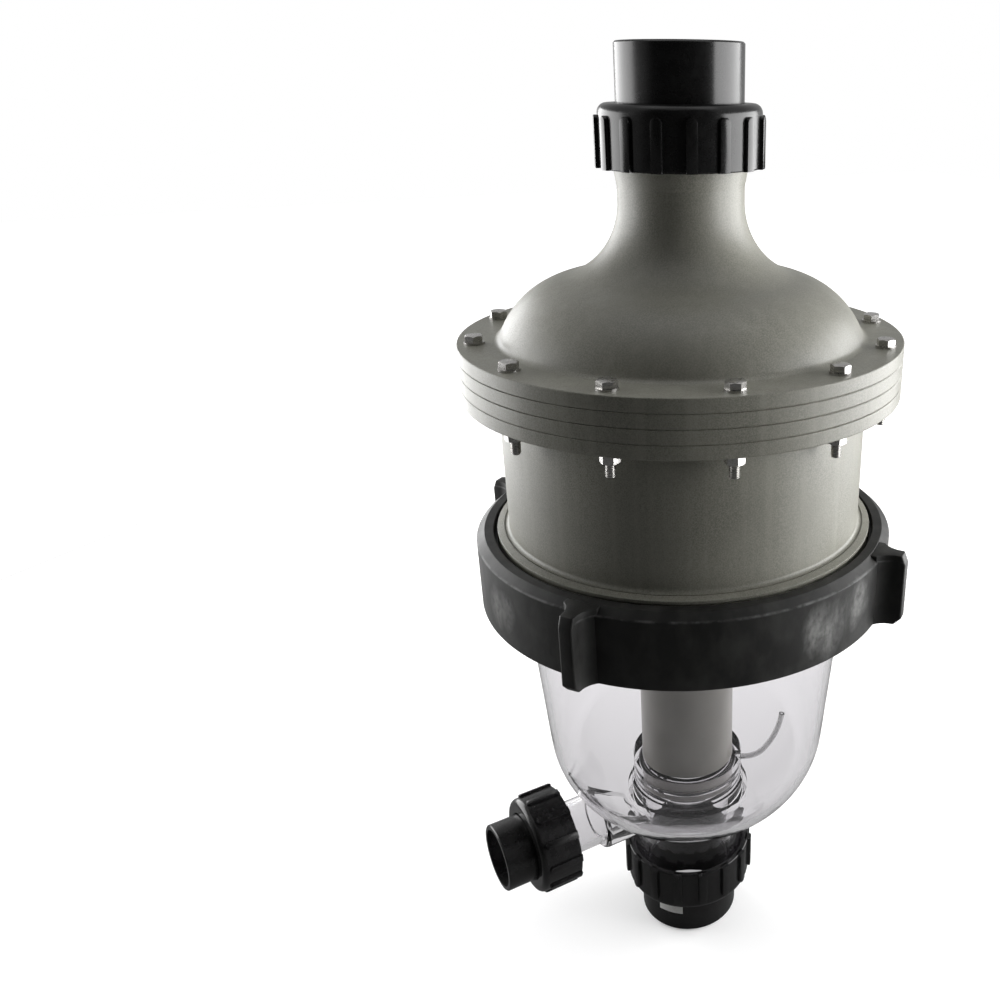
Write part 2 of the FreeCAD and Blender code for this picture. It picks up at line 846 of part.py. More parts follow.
def make_main_body():
    collar_inner = collar_radius - size.body_collar_wall
    ledge = collar_bottom + size.body_collar_height
    shelf = ledge + size.body_collar_slope
    groove_x = body_radius + size.body_cove
    chamfer = size.pipe_rim_chamfer
    corners = [at(body_inner, cyclone_plate_bottom)]
    corners += flange_plate(flange_bottom)
    corners += [
        rounded(body_radius, flange_bottom, size.body_flange_round),
        at(body_radius, shelf + size.body_cove),
        arc_left(groove_x, shelf, size.body_cove * HALF_CIRCLE),
        at(groove_x, shelf - size.body_groove_depth),
        at(groove_x + size.body_groove_width, shelf - size.body_groove_depth),
        at(groove_x + size.body_groove_width, shelf),
        at(collar_radius, ledge),
        at(collar_radius, collar_bottom + chamfer),
        at(collar_radius - chamfer, collar_bottom),
        at(collar_inner, collar_bottom),
        at(collar_inner, ledge - size.body_wall),
        at(body_inner, ledge - size.body_wall + (collar_inner - body_inner)),
    ]
    body = turned("main_body", corners)
    drill_bolt_holes(body, cyclone_plate_bottom)
    return body


def bowl_curve(offset):
    """The bowl's wall, knuckle and crown, set inwards by an offset."""
    across = cosine(size.bowl_taper_angle)
    down = sine(size.bowl_taper_angle)
    knuckle = bowl_knuckle_radius - offset
    crown = bowl_crown_radius - offset
    centre_z = bowl_bottom + bowl_crown_radius
    # the knuckle's centre lies its radius inside the wall and on a circle about the crown's centre
    wall_at_crown = bowl_rim_radius * across - (bowl_seat - centre_z) * down - bowl_knuckle_radius
    along = side(size.bowl_knuckle_step, wall_at_crown)
    knuckle_x = wall_at_crown * across - along * down
    knuckle_z = centre_z - wall_at_crown * down - along * across
    wall_x = knuckle_x + knuckle * across
    wall_z = knuckle_z - knuckle * down
    share = crown / size.bowl_knuckle_step
    meet_x = knuckle_x * share
    meet_z = centre_z + (knuckle_z - centre_z) * share
    return knuckle, crown, wall_x, wall_z, meet_x, meet_z


def crown_height(radius, offset):
    """Height of the bowl's crown at a radius from the axis."""
    return bowl_bottom + bowl_crown_radius - side(bowl_crown_radius - offset, radius)


def make_clear_bowl():
    body = new_body("clear_bowl")
    taper = tangent(size.bowl_taper_angle)
    knuckle, crown, wall_x, wall_z, meet_x, meet_z = bowl_curve(ZERO)
    chamfer = size.pipe_rim_chamfer
    thread_end = lower_face + size.nipple_thread_length
    root_z = crown_height(nipple_radius, ZERO)
    turn_outline(body, "bowl_outside", [
        at(0, lower_face),
        at(pipe.thread_radius - chamfer, lower_face),
        at(pipe.thread_radius, lower_face + chamfer),
        at(pipe.thread_radius, thread_end),
        at(nipple_radius, thread_end + size.nipple_thread_depth),
        at(nipple_radius, root_z),
        arc_left(meet_x, meet_z, crown),
        arc_left(wall_x, wall_z, knuckle),
        at(bowl_rim_radius, bowl_seat),
        rounded(bowl_flange_radius, bowl_seat, chamfer),
        rounded(bowl_flange_radius, bowl_top, chamfer),
        at(0, bowl_top),
    ])
    fillet_circle(body, "bowl_root", nipple_radius, root_z, size.bowl_root_round)

    end = size.drain_reach
    thread_start = end - size.drain_thread_length
    stub_top = drain_level + drain.bore_radius + size.drain_stub_wall
    boss_top = drain_level + drain.bore_radius + size.drain_boss_wall
    thread_top = drain_level + drain.thread_radius
    turn_outline(body, "drain_stub", [
        at(-feed_base_radius, drain_level),
        at(-feed_base_radius, boss_top),
        rounded(-size.drain_boss_reach, boss_top, size.drain_boss_round),
        at(-size.drain_boss_reach, stub_top),
        at(-(thread_start - size.drain_thread_shoulder), stub_top),
        at(-thread_start, thread_top),
        at(-(end - chamfer), thread_top),
        at(-end, thread_top - chamfer),
        at(-end, drain_level),
    ], "Revolution", drain_level)

    knuckle, crown, wall_x, wall_z, meet_x, meet_z = bowl_curve(size.bowl_wall)
    wall = size.bowl_wall / cosine(size.bowl_taper_angle)
    top_x = bowl_rim_radius + taper * size.bowl_flange_height - wall
    turn_outline(body, "bowl_inside", [
        at(0, socket_top),
        at(feed_socket_radius, socket_top),
        at(feed_socket_radius, bowl_bottom + size.feed_step_height),
        at(feed_step_radius, bowl_bottom + size.feed_step_height),
        at(feed_step_radius, bowl_bottom + size.feed_base_height),
        at(feed_base_radius, bowl_bottom + size.feed_base_height),
        at(feed_base_radius, crown_height(feed_base_radius, size.bowl_wall)),
        arc_left(meet_x, meet_z, crown),
        arc_left(wall_x, wall_z, knuckle),
        at(top_x + taper * OVERCUT, bowl_top + OVERCUT),
        at(0, bowl_top + OVERCUT),
    ], "Groove")

    ring_z = socket_floor + size.lower_seal_height
    half = size.tube_seal_radius + size.seal_gap
    ring_x = feed_bore + 2 * size.tube_seal_radius
    turn_outline(body, "feed_bore", [
        at(0, lower_face),
        at(pipe.bore_radius, lower_face),
        at(pipe.bore_radius, socket_floor),
        at(feed_bore, socket_floor),
        at(feed_bore, ring_z - half),
        at(ring_x, ring_z - half),
        at(ring_x, ring_z + half),
        at(feed_bore, ring_z + half),
        at(feed_bore, socket_top),
        at(0, socket_top),
    ], "Groove")

    inlet_ring = face_groove(
        pipe.ring_radius, groove_half_width, lower_face, groove_depth, True)
    turn_outline(body, "inlet_groove", inlet_ring, "Groove")
    rim_ring = face_groove(bowl_seal_radius, groove_half_width, bowl_top, groove_depth)
    turn_outline(body, "rim_groove", rim_ring, "Groove")

    bleed_end = feed_socket_radius + size.bleed_straight
    bleed_top = bleed_level + size.bleed_radius + size.press_gap
    turn_outline(body, "bleed_hole", [
        at(size.feed_tube_radius, bleed_level),
        at(size.feed_tube_radius, bleed_top),
        at(bleed_end, bleed_top),
        at(bleed_end, bleed_level),
    ], "Groove", bleed_level, size.bleed_angle)

    drain_start = feed_base_radius + size.drain_floor_wall
    drain_top = drain_level + drain.bore_radius
    turn_outline(body, "drain_bore", [
        at(-drain_start, drain_level),
        at(-drain_start, drain_top),
        at(-end, drain_top),
        at(-end, drain_level),
    ], "Groove", drain_level)
    groove_floor = -(end - groove_depth)
    ring_top = drain_level + drain.ring_radius
    turn_outline(body, "drain_groove", [
        at(-end, ring_top - groove_half_width),
        at(groove_floor, ring_top - groove_half_width),
        at(groove_floor, ring_top + groove_half_width),
        at(-end, ring_top + groove_half_width),
    ], "Groove", drain_level)
    return body


def make_bleed_tube():
    """A small bent tube that lets air out of the bowl, pressed into the feed socket."""
    body = new_body("bleed_tube")
    first = size.bleed_first_bend
    second = size.bleed_second_bend
    turn_a = size.bleed_first_angle
    turn_b = size.bleed_second_angle
    start_x = feed_bore + size.seal_gap
    x1 = feed_socket_radius + size.bleed_straight
    z1 = bleed_level
    x2 = x1 + first * sine(turn_a)
    z2 = z1 + first * (1 - cosine(turn_a))
    x3 = x2 + second * (sine(turn_b) - sine(turn_a))
    z3 = z2 + second * (cosine(turn_a) - cosine(turn_b))
    x4 = x3 + size.bleed_end * cosine(turn_b)
    z4 = z3 + size.bleed_end * sine(turn_b)
    path = new_sketch(body, "bleed_path", "XZ_Plane")
    spots = [(start_x, z1), (x1, z1), (x2, z2), (x3, z3), (x4, z4)]
    points = [Vector(x.number, z.number, 0) for x, z in spots]
    bend_a, forward = arc_between(points[1], points[2], first.number, 1)
    bend_b, forward = arc_between(points[2], points[3], second.number, 1)
    for curve in (Part.LineSegment(points[0], points[1]), bend_a, bend_b,
                  Part.LineSegment(points[3], points[4])):
        path.addGeometry(curve, False)
    joints = [Sketcher.Constraint("Coincident", k, 2, k + 1, 1) for k in range(3)]
    held = []
    for k, (x, z) in enumerate(spots[:4]):
        held += place_point(k, 1, x, z)
    held += place_point(3, 2, x4, z4)
    held.append((Sketcher.Constraint("Radius", 1, first.number), first))
    held.append((Sketcher.Constraint("Radius", 2, second.number), second))
    bind(path, joints, held)
    section = new_sketch(body, "bleed_section", "YZ_Plane", start_x)
    rings = []
    for radius in (size.bleed_radius, size.bleed_bore_radius):
        circle = Part.Circle(Vector(0, z1.number, 0), Vector(0, 0, 1), radius.number)
        index = section.addGeometry(circle, False)
        rings += place_point(index, 3, ZERO, z1)
        rings.append((Sketcher.Constraint("Radius", index, radius.number), radius))
    bind(section, [], rings)
    pipe = body.newObject("PartDesign::AdditivePipe", "bleed_pipe")
    pipe.Profile = section
    pipe.Spine = path
    place(body, turn=Rotation(Vector(0, 0, 1), size.bleed_angle.number))
    body.setExpression("Placement.Rotation.Angle", size.bleed_angle.text)
    return body


def make_lock_ring():
    """The threaded ring that holds the bowl, with four lugs for turning it by hand."""
    top = ring_bottom + size.ring_height
    tip = size.lug_tip_width / 2
    foot = size.lug_root_width / 2
    flare = size.lug_flare_radius
    lug_foot = ring_radius - size.lug_foot_depth
    lug_root = ring_radius - size.lug_sink
    flare_end = lug_root + size.lug_flare_length
    lug_bottom = ring_bottom + size.lug_setback
    lug_top = top - size.lug_setback
    body = new_body("lock_ring")
    lug = pad_outline(body, "lug", [
        at(lug_foot, -foot),
        at(lug_root, -foot),
        arc_right(flare_end, -tip, flare),
        rounded(lug_tip_radius, -tip, size.ring_edge_round),
        rounded(lug_tip_radius, tip, size.ring_edge_round),
        at(flare_end, tip),
        arc_right(lug_root, foot, flare),
        at(lug_foot, foot),
    ], lug_top - lug_bottom, "XY_Plane", lug_bottom)
    repeat_round(body, "lugs", [lug], size.lug_count)
    # the turned outlines start midway between two lugs, so that no seam crosses a lug
    midway = Size.of(180) / size.lug_count
    beyond = lug_tip_radius + size.lug_tip_width
    top_width = size.lug_top_width
    bottom_width = size.lug_bottom_width
    top_drop = size.lug_top_height * (size.lug_tip_width + top_width) / top_width
    bottom_rise = size.lug_bottom_height * (size.lug_tip_width + bottom_width) / bottom_width
    turn_outline(body, "lug_top_slope", [
        at(lug_tip_radius - top_width, lug_top),
        at(beyond, lug_top - top_drop),
        at(beyond, lug_top),
    ], "Groove", angle=midway)
    turn_outline(body, "lug_bottom_slope", [
        at(lug_tip_radius - bottom_width, lug_bottom),
        at(beyond, lug_bottom),
        at(beyond, lug_bottom + bottom_rise),
    ], "Groove", angle=midway)
    mouth = ring_bore + size.ring_mouth_width
    lip = bowl_rim_radius + size.ring_lip_gap
    turn_outline(body, "ring", [
        at(mouth, top),
        at(ring_radius - size.ring_bevel_width, top),
        at(ring_radius, top - size.ring_bevel_height),
        rounded(ring_radius, ring_bottom, size.ring_edge_round),
        at(lip, ring_bottom),
        at(lip, ring_top_of_lip),
        at(ring_bore, ring_top_of_lip),
        at(ring_bore, top - size.ring_mouth_depth),
        at(mouth, top - size.ring_mouth_depth),
    ], angle=midway)
    place(body, turn=Rotation(Vector(0, 0, 1), size.lug_angle.number))
    body.setExpression("Placement.Rotation.Angle", size.lug_angle.text)
    return body


def make_feed_tube():
    inner = size.feed_tube_radius - size.feed_tube_wall
    bottom = socket_floor + size.feed_stop_depth
    top = pan_top - size.pan_stop_height - size.face_gap
    return turned("feed_tube", [
        at(inner, bottom),
        at(size.feed_tube_radius, bottom),
        at(size.feed_tube_radius, top),
        at(inner, top),
    ])


def hexagon(across_flats):
    """Corners of a hexagon about the origin."""
    step = 360 / HEXAGON
    reach = across_flats / 2 / cosine(Size.of(step / 2))
    turns = [Size.of(step * k) for k in range(HEXAGON)]
    return [at(reach * cosine(turn), reach * sine(turn)) for turn in turns]


def make_bolt():
    """One hexagon bolt, hanging from the underside of its head at z = 0."""
    body = new_body("bolt_pattern")
    pad_outline(body, "bolt_head", hexagon(size.bolt_flats), size.bolt_head)
    reach = size.bolt_flats / 2
    fall = reach * tangent(size.bolt_chamfer_angle)
    turn_outline(body, "bolt_head_slope", [
        at(reach, size.bolt_head),
        at(2 * reach, size.bolt_head),
        at(2 * reach, size.bolt_head - fall),
    ], "Groove")
    grip = 4 * size.flange_thickness + 2 * size.washer_thickness
    length = grip + size.nut_height + size.bolt_end
    chamfer = size.bolt_tip_chamfer
    turn_outline(body, "bolt_shank", [
        at(0, size.bolt_head / 2),
        at(size.bolt_radius, size.bolt_head / 2),
        at(size.bolt_radius, chamfer - length),
        at(size.bolt_radius - chamfer, -length),
        at(0, -length),
    ])
    return body


def make_flange_nut():
    """One hexagon nut, hanging from its upper face at z = 0."""
    body = new_body("flange_nut_pattern")
    height = size.nut_height
    pad_outline(body, "flange_nut_prism", hexagon(size.bolt_flats), height, offset=-height)
    drill(body, "flange_nut_bore", ZERO, ZERO, size.bolt_radius + size.press_gap, ZERO)
    reach = size.bolt_flats / 2
    bottom = -height
    rise = reach * tangent(size.bolt_chamfer_angle)
    turn_outline(body, "flange_nut_slope", [
        at(reach, bottom),
        at(2 * reach, bottom),
        at(2 * reach, bottom + rise),
    ], "Groove")
    return body


def make_cyclone():
    """One hydrocyclone, hanging from the pan's floor at z = 0."""
    body = new_body("cyclone_pattern")
    head_top = size.pan_depth - size.face_gap
    head_bottom = head_top - size.cyclone_straight
    groove = size.small_seal_radius + size.seal_gap
    groove_z = -size.pan_floor / 2
    groove_x = spigot_radius - 2 * size.small_seal_radius
    tip_radius = size.cyclone_apex_radius + size.cyclone_tip_wall
    turn_outline(body, "cyclone_wall", [
        at(cyclone_radius, head_top),
        at(cyclone_head_radius, head_top),
        at(cyclone_head_radius, 0),
        at(spigot_radius, 0),
        at(spigot_radius, groove_z + groove),
        at(groove_x, groove_z + groove),
        at(groove_x, groove_z - groove),
        at(spigot_radius, groove_z - groove),
        at(spigot_radius, -size.cyclone_spigot_length),
        at(tip_radius, -size.cyclone_length),
        at(size.cyclone_apex_radius, -size.cyclone_length),
        at(cyclone_radius, head_bottom),
    ])
    slot_top = head_top - size.cyclone_slot_drop
    slot_bottom = slot_top - size.cyclone_slot_height
    outer = cyclone_radius
    inner = outer - size.cyclone_slot_width
    sketch = new_sketch(body, "cyclone_slot_outline", "XZ_Plane")
    draw_outline(sketch, [
        at(inner, slot_bottom),
        at(outer, slot_bottom),
        at(outer, slot_top),
        at(inner, slot_top),
    ])
    slot = body.newObject("PartDesign::Pocket", "cyclone_slot")
    slot.Profile = sketch
    set_sizes(slot, Length=cyclone_head_radius)
    return body


def make_finder():
    """One vortex finder, hanging in the vortex plate with its head's top at z = 0."""
    return turned("finder_pattern", [
        at(size.finder_bore_radius, 0),
        at(finder_head_radius, 0),
        at(finder_head_radius, -size.finder_head_height),
        at(finder_radius, -size.finder_head_height),
        at(finder_radius, -size.finder_length),
        at(size.finder_bore_radius, -size.finder_length),
    ])


def make_washer():
    """One flat washer, standing on z = 0."""
    rim = size.bolt_flats / 2 + size.washer_margin
    return turned("washer_pattern", [
        at(flange_hole_radius, 0),
        at(rim, 0),
        at(rim, size.washer_thickness),
        at(flange_hole_radius, size.washer_thickness),
    ])


def ring_of_copies(label, pattern, circle, height, count, first_angle, turn_step=0.0):
    """Copies of one piece on a circle, each turned a little further about its own axis."""
    number = int(count.number)
    copies = []
    for k in range(number):
        copy = pattern.Shape.copy()
        angle = first_angle + 360 * k / number
        spin = Rotation(Vector(0, 0, 1), turn_step * k)
        around = Rotation(Vector(0, 0, 1), angle)
        spot = around.multVec(Vector(circle.number, 0, height.number))
        copy.Placement = Placement(spot, around * spin)
        copies.append(copy)
    group = doc.addObject("Part::Feature", label)
    group.Label = label
    group.Shape = Part.makeCompound(copies)
    group.Placement = Placement()
    return group


def make_fasteners():
    """Twelve bolts, their nuts and the washers on both sides of the flange."""
    bolt = make_bolt()
    nut = make_flange_nut()
    washer = make_washer()
    doc.recompute()
    head_seat = flange_top + size.washer_thickness
    nut_seat = flange_bottom - size.washer_thickness
    angle = size.bolt_angle.number
    bolt_turn = size.bolt_turn_step.number
    nut_turn = size.nut_turn_step.number
    count = size.bolt_count
    return [
        ring_of_copies("flange_bolts", bolt, bolt_circle, head_seat, count, angle, bolt_turn),
        ring_of_copies("bolt_washers", washer, bolt_circle, flange_top, count, angle),
        ring_of_copies("flange_nuts", nut, bolt_circle, nut_seat, count, angle, nut_turn),
        ring_of_copies("nut_washers", washer, bolt_circle, nut_seat, count, angle),
    ]


def make_cyclones():
    """Sixteen hydrocyclones with their seals and vortex finders."""
    cyclone = make_cyclone()
    finder = make_finder()
    section = size.small_seal_radius
    ring = seal("cyclone_seal_pattern", spigot_radius - section, section)
    doc.recompute()
    count = size.cyclone_count
    ring_height = pan_top - size.pan_floor / 2
    return [
        ring_of_copies("hydrocyclones", cyclone, cyclone_circle, pan_top, count, 0),
        ring_of_copies("hydrocyclone_o_rings", ring, cyclone_circle, ring_height, count, 0),
        ring_of_copies("vortex_finders", finder, cyclone_circle, dome_bottom, count, 0),
    ]


def make_seals():
    """The rings between the flange layers, under the bowl's rim and round the feed tube."""
    tube_ring = size.feed_tube_radius + size.tube_seal_radius
    stop = pan_top - size.pan_stop_height
    lower = socket_floor + size.lower_seal_height
    lower_ring = tube_ring + size.thread_gap
    upper = stop - size.upper_seal_depth
    section = size.seal_radius
    return [
        seal("dome_o_ring", flange_seal_radius, section, z=dome_bottom + seal_inset),
        seal("plate_o_ring", flange_seal_radius, section, z=vortex_plate_bottom + seal_inset),
        seal("body_o_ring", flange_seal_radius, section, z=cyclone_plate_bottom + seal_inset),
        seal("bowl_seal_o_ring", bowl_seal_radius, section, z=bowl_top - seal_inset),
        seal("feed_tube_upper_o_ring", tube_ring, size.tube_seal_radius, z=upper),
        seal("feed_tube_lower_o_ring", lower_ring, size.tube_seal_radius - size.seal_gap, z=lower),
    ]


up = Rotation()
down = Rotation(Vector(1, 0, 0), 180)
sideways = Rotation(Vector(0, 1, 0), -90)

lock_ring = make_lock_ring()
pieces = [
    make_top_dome(),
    make_vortex_plate(),
    make_cyclone_plate(),
    make_main_body(),
    make_feed_tube(),
    make_clear_bowl(),
    make_bleed_tube(),
    lock_ring,
]
pieces += make_cyclones()
pieces += make_fasteners()
pieces += make_seals()
pieces += make_union("outlet", pipe, ZERO, upper_face, up, size.outlet_rib_angle)
pieces += make_union("inlet", pipe, ZERO, lower_face, down, -size.inlet_rib_angle)
pieces += make_union("drain", drain, -size.drain_reach, drain_level, sideways, size.drain_rib_angle)

doc.recompute()
for item in doc.Objects:
    if "Invalid" in item.State or "Error" in item.State:
        raise RuntimeError(f"{item.Label} has failed: {item.State}")
for piece in pieces:
    if piece.Shape.isNull() or not piece.Shape.isValid():
        raise RuntimeError(f"{piece.Label} has no valid shape")
    if piece.TypeId == "PartDesign::Body" and len(piece.Shape.Solids) != 1:
        raise RuntimeError(f"{piece.Label} is not one solid")
lug_radius = ring_radius + size.lug_reach / 2
lug_height = ring_bottom + size.ring_height / 2
lug_middle = Vector(lug_radius.number, 0, lug_height.number)
for k in range(int(size.lug_count.number)):
    turn = size.lug_angle.number + 360 * k / size.lug_count.number
    spot = Rotation(Vector(0, 0, 1), turn).multVec(lug_middle)
    if not lock_ring.Shape.isInside(spot, TOLERANCE, True):
        raise RuntimeError(f"the lock ring has no lug at {turn} degrees")

os.makedirs("parts", exist_ok=True)
for piece in pieces:
    piece.Shape.exportStep(f"parts/{piece.Label}.step")
    solids = len(piece.Shape.Solids)
    print(f"{piece.Label}: {solids} solid(s), {piece.Shape.Volume / 1000:.1f} cm3")
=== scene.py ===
import math

import bmesh
import bpy
from bpy.props import FloatProperty, FloatVectorProperty, IntProperty, PointerProperty
from mathutils import Matrix, Vector


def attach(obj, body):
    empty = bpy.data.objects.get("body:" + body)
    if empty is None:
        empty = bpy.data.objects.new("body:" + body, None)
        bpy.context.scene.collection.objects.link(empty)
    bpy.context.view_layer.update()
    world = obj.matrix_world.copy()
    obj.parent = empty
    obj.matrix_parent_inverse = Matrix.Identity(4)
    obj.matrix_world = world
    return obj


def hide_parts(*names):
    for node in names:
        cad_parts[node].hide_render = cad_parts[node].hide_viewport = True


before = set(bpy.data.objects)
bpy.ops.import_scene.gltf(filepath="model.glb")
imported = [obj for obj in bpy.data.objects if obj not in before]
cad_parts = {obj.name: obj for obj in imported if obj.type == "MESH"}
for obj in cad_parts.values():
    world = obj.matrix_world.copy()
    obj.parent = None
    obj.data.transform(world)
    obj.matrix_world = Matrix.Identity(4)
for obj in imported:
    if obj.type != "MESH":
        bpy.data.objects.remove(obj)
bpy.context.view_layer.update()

# Looks of a clear-bowl centrifugal prefilter for water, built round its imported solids.
# Outlines are given in millimetres and become metres when their meshes are made.

bl_info = {
    "name": "Centrifugal prefilter",
    "version": (1, 0, 0),
    "blender": (4, 5, 0),
    "location": "View3D > Sidebar > Prefilter",
    "description": "Dresses the packed prefilter with its finishes, threads, fasteners and stage",
    "category": "Object",
}

MM = 0.001

# edges that turn further than this show as sharp
SMOOTH_LIMIT = math.radians(34)

# the turn of one step of a rounded corner, and how far beside it a point is held
ARC_STEP = math.radians(15)
HOLD = 0.35

# points this close together, in metres, become one
MERGE = 1e-6

# the faces that the union tails seal on, and the drain's height
LOWER_FACE = 46.6
UPPER_FACE = 593.4
DRAIN_FACE = 122.0
DRAIN_LEVEL = 119.5

# the flange and one of its four layers
FLANGE_TOP = 473.4
FLANGE_BOTTOM = 439.4
FLANGE_LAYER = 8.5
FLANGE_RADIUS = 139.2
FLANGE_ROUND = 0.8

# the lock ring, and the collar that it screws onto
RING_BOTTOM = 297.0
RING_TOP = 347.3
RING_RADIUS = 139.4
RING_BEVEL = 4.7
COLLAR_BOTTOM = 313.0

# a thread's foot radius and depth
PIPE_THREAD = (42.4, 1.1)
DRAIN_THREAD = (28.6, 1.1)
RING_THREAD = (124.1, 1.3)
NECK_THREAD_LENGTH = 13.4

# how far the camera looks down
VIEW_TILT = math.radians(23.53)

# pale scuffs on the lock ring: angle in degrees, height, reach and strength
SCUFFS = ((-84.0, 320.0, 34.0, 0.36), (-71.0, 324.0, 32.0, 0.32), (-176.0, 322.0, 30.0, 0.28))


# Outlines and meshes

def arc(x, z, radius, start, end, steps=12):
    """Points of an arc round (x, z), its angles in degrees from +X towards +Z."""
    turns = [math.radians(start + (end - start) * k / steps) for k in range(steps + 1)]
    return [(x + radius * math.cos(turn), z + radius * math.sin(turn)) for turn in turns]


def soften(corners):
    """Points of a closed outline. A corner (x, z, radius) is rounded, with a point held beside its arc."""
    points = []
    for k, corner in enumerate(corners):
        if len(corner) == 2:
            points.append(tuple(corner))
            continue
        here = Vector(corner[:2])
        back = Vector(corners[k - 1][:2]) - here
        ahead = Vector(corners[(k + 1) % len(corners)][:2]) - here
        half = back.angle(ahead) / 2
        reach = corner[2] / math.tan(half)
        centre = here + (back.normalized() + ahead.normalized()).normalized() * corner[2] / math.sin(half)
        first = here + back.normalized() * reach
        last = here + ahead.normalized() * reach
        start = math.atan2(first.y - centre.y, first.x - centre.x)
        end = math.atan2(last.y - centre.y, last.x - centre.x)
        sweep = (end - start + math.pi) % (2 * math.pi) - math.pi
        steps = max(2, math.ceil(abs(sweep) / ARC_STEP))
        if back.length > reach + 2 * HOLD:
            points.append(tuple(here + back.normalized() * (reach + HOLD)))
        for step in range(steps + 1):
            turn = start + sweep * step / steps
            points.append((centre.x + corner[2] * math.cos(turn), centre.y + corner[2] * math.sin(turn)))
        if ahead.length > reach + 2 * HOLD:
            points.append(tuple(here + ahead.normalized() * (reach + HOLD)))
    return points


def line_mesh(points):
    """A closed line of edges through points of an upright plane, in metres."""
    mesh = bpy.data.meshes.new("outline")
    count = len(points)
    spots = [(x * MM, 0, z * MM) for x, z in points]
    mesh.from_pydata(spots, [(k, (k + 1) % count) for k in range(count)], [])
    return mesh


def layered_mesh(loops, closed=False):
    """A skin over loops of equally many points, in millimetres, with flat ends or joined end to end."""
    count = len(loops[0])
    spots = [tuple(value * MM for value in spot) for loop in loops for spot in loop]
    faces = []
    for k in range(len(loops) if closed else len(loops) - 1):
        low, high = k * count, (k + 1) % len(loops) * count
        for j in range(count):
            following = (j + 1) % count
            faces.append((low + j, low + following, high + following, high + j))
    if not closed:
        faces.append(tuple(reversed(range(count))))
        faces.append(tuple(range(len(spots) - count, len(spots))))
    mesh = bpy.data.meshes.new("layers")
    mesh.from_pydata(spots, [], faces)
    return mesh


def hexagon_radius(flats, degrees):
    return flats / 2 / math.cos(math.radians(degrees % 60 - 30))


def hexagon_mesh(flats, low, high, low_slope, high_slope, bore=0.0):
    """A hexagon block with one or both ends sloped off at its corners, with a bore or closed ends."""
    degrees = [6 * k for k in range(60)]
    slope = math.tan(math.radians(30))

    def ring(radius, z):
        return [(radius * math.cos(math.radians(a)), radius * math.sin(math.radians(a)), z) for a in degrees]

    def rim(z, drop):
        loop = []
        for a in degrees:
            radius = hexagon_radius(flats, a)
            height = z + drop * slope * (radius - flats / 2 * 0.97)
            loop.append((radius * math.cos(math.radians(a)), radius * math.sin(math.radians(a)), height))
        return loop

    inner = bore if bore else 0.02
    loops = [ring(inner, low)]
    if low_slope:
        loops.append(ring(flats / 2 * 0.97, low))
    loops += [rim(low, 1 if low_slope else 0), rim(high, -1 if high_slope else 0)]
    if high_slope:
        loops.append(ring(flats / 2 * 0.97, high))
    loops.append(ring(inner, high))
    return layered_mesh(loops, closed=bool(bore))


def bevelled(mesh, width, segments=2, limit=25):
    """The mesh with its sharper edges rounded off."""
    shape = bmesh.new()
    shape.from_mesh(mesh)
    sharp = [edge for edge in shape.edges if edge.calc_face_angle(0) > math.radians(limit)]
    bmesh.ops.bevel(
        shape, geom=sharp, offset=width * MM, segments=segments, profile=0.5, affect="EDGES",
        clamp_overlap=True)
    shape.to_mesh(mesh)
    shape.free()
    return mesh


# Node trees

def add(tree, kind, values=(), **settings):
    """A node of a kind, with its settings and what feeds its inputs."""
    node = tree.nodes.new(kind)
    for name, value in settings.items():
        setattr(node, name, value)
    for place, value in dict(values).items():
        socket = node.inputs[place]
        if isinstance(value, bpy.types.NodeSocket):
            tree.links.new(value, socket)
        elif isinstance(value, bpy.types.Node):
            tree.links.new(value.outputs[0], socket)
        else:
            socket.default_value = value
    return node


def calc(tree, operation, first, second=0.0):
    """One step of arithmetic."""
    return add(tree, "ShaderNodeMath", {0: first, 1: second}, operation=operation)


def shape_tree(name, inputs):
    """A new node tree with named inputs, and the node that gives them."""
    tree = bpy.data.node_groups.new(name, "GeometryNodeTree")
    tree.interface.new_socket("Geometry", in_out="INPUT", socket_type="NodeSocketGeometry")
    tree.interface.new_socket("Geometry", in_out="OUTPUT", socket_type="NodeSocketGeometry")
    for label, kind in inputs.items():
        tree.interface.new_socket(label, in_out="INPUT", socket_type=f"NodeSocket{kind}")
    return tree, tree.nodes.new("NodeGroupInput").outputs


def end_tree(tree, geometry, finish):
    """Ends a tree in plain geometry with its material."""
    real = add(tree, "GeometryNodeRealizeInstances", {"Geometry": geometry})
    coated = add(tree, "GeometryNodeSetMaterial", {"Geometry": real, "Material": finish})
    add(tree, "NodeGroupOutput", {0: coated})
    return tree


def swept_grid(tree, outline, steps):
    """A grid with a row for each point of an outline and a ring for each step, and its fields."""
    size = add(tree, "GeometryNodeAttributeDomainSize", {0: outline}, component="MESH")
    count = size.outputs["Point Count"]
    rows = calc(tree, "ADD", count, 1)
    rings = calc(tree, "ADD", steps, 1)
    grid = add(tree, "GeometryNodeMeshGrid", {"Vertices X": rings, "Vertices Y": rows})
    index = add(tree, "GeometryNodeInputIndex")
    ring = calc(tree, "FLOOR", calc(tree, "DIVIDE", calc(tree, "ADD", index, 0.5), rows))
    row = calc(tree, "MODULO", calc(tree, "MODULO", index, rows), count)
    place = add(tree, "GeometryNodeInputPosition")
    sample = add(
        tree, "GeometryNodeSampleIndex", {"Geometry": outline, "Value": place, "Index": row},
        data_type="FLOAT_VECTOR")
    return grid, calc(tree, "DIVIDE", ring, steps), sample


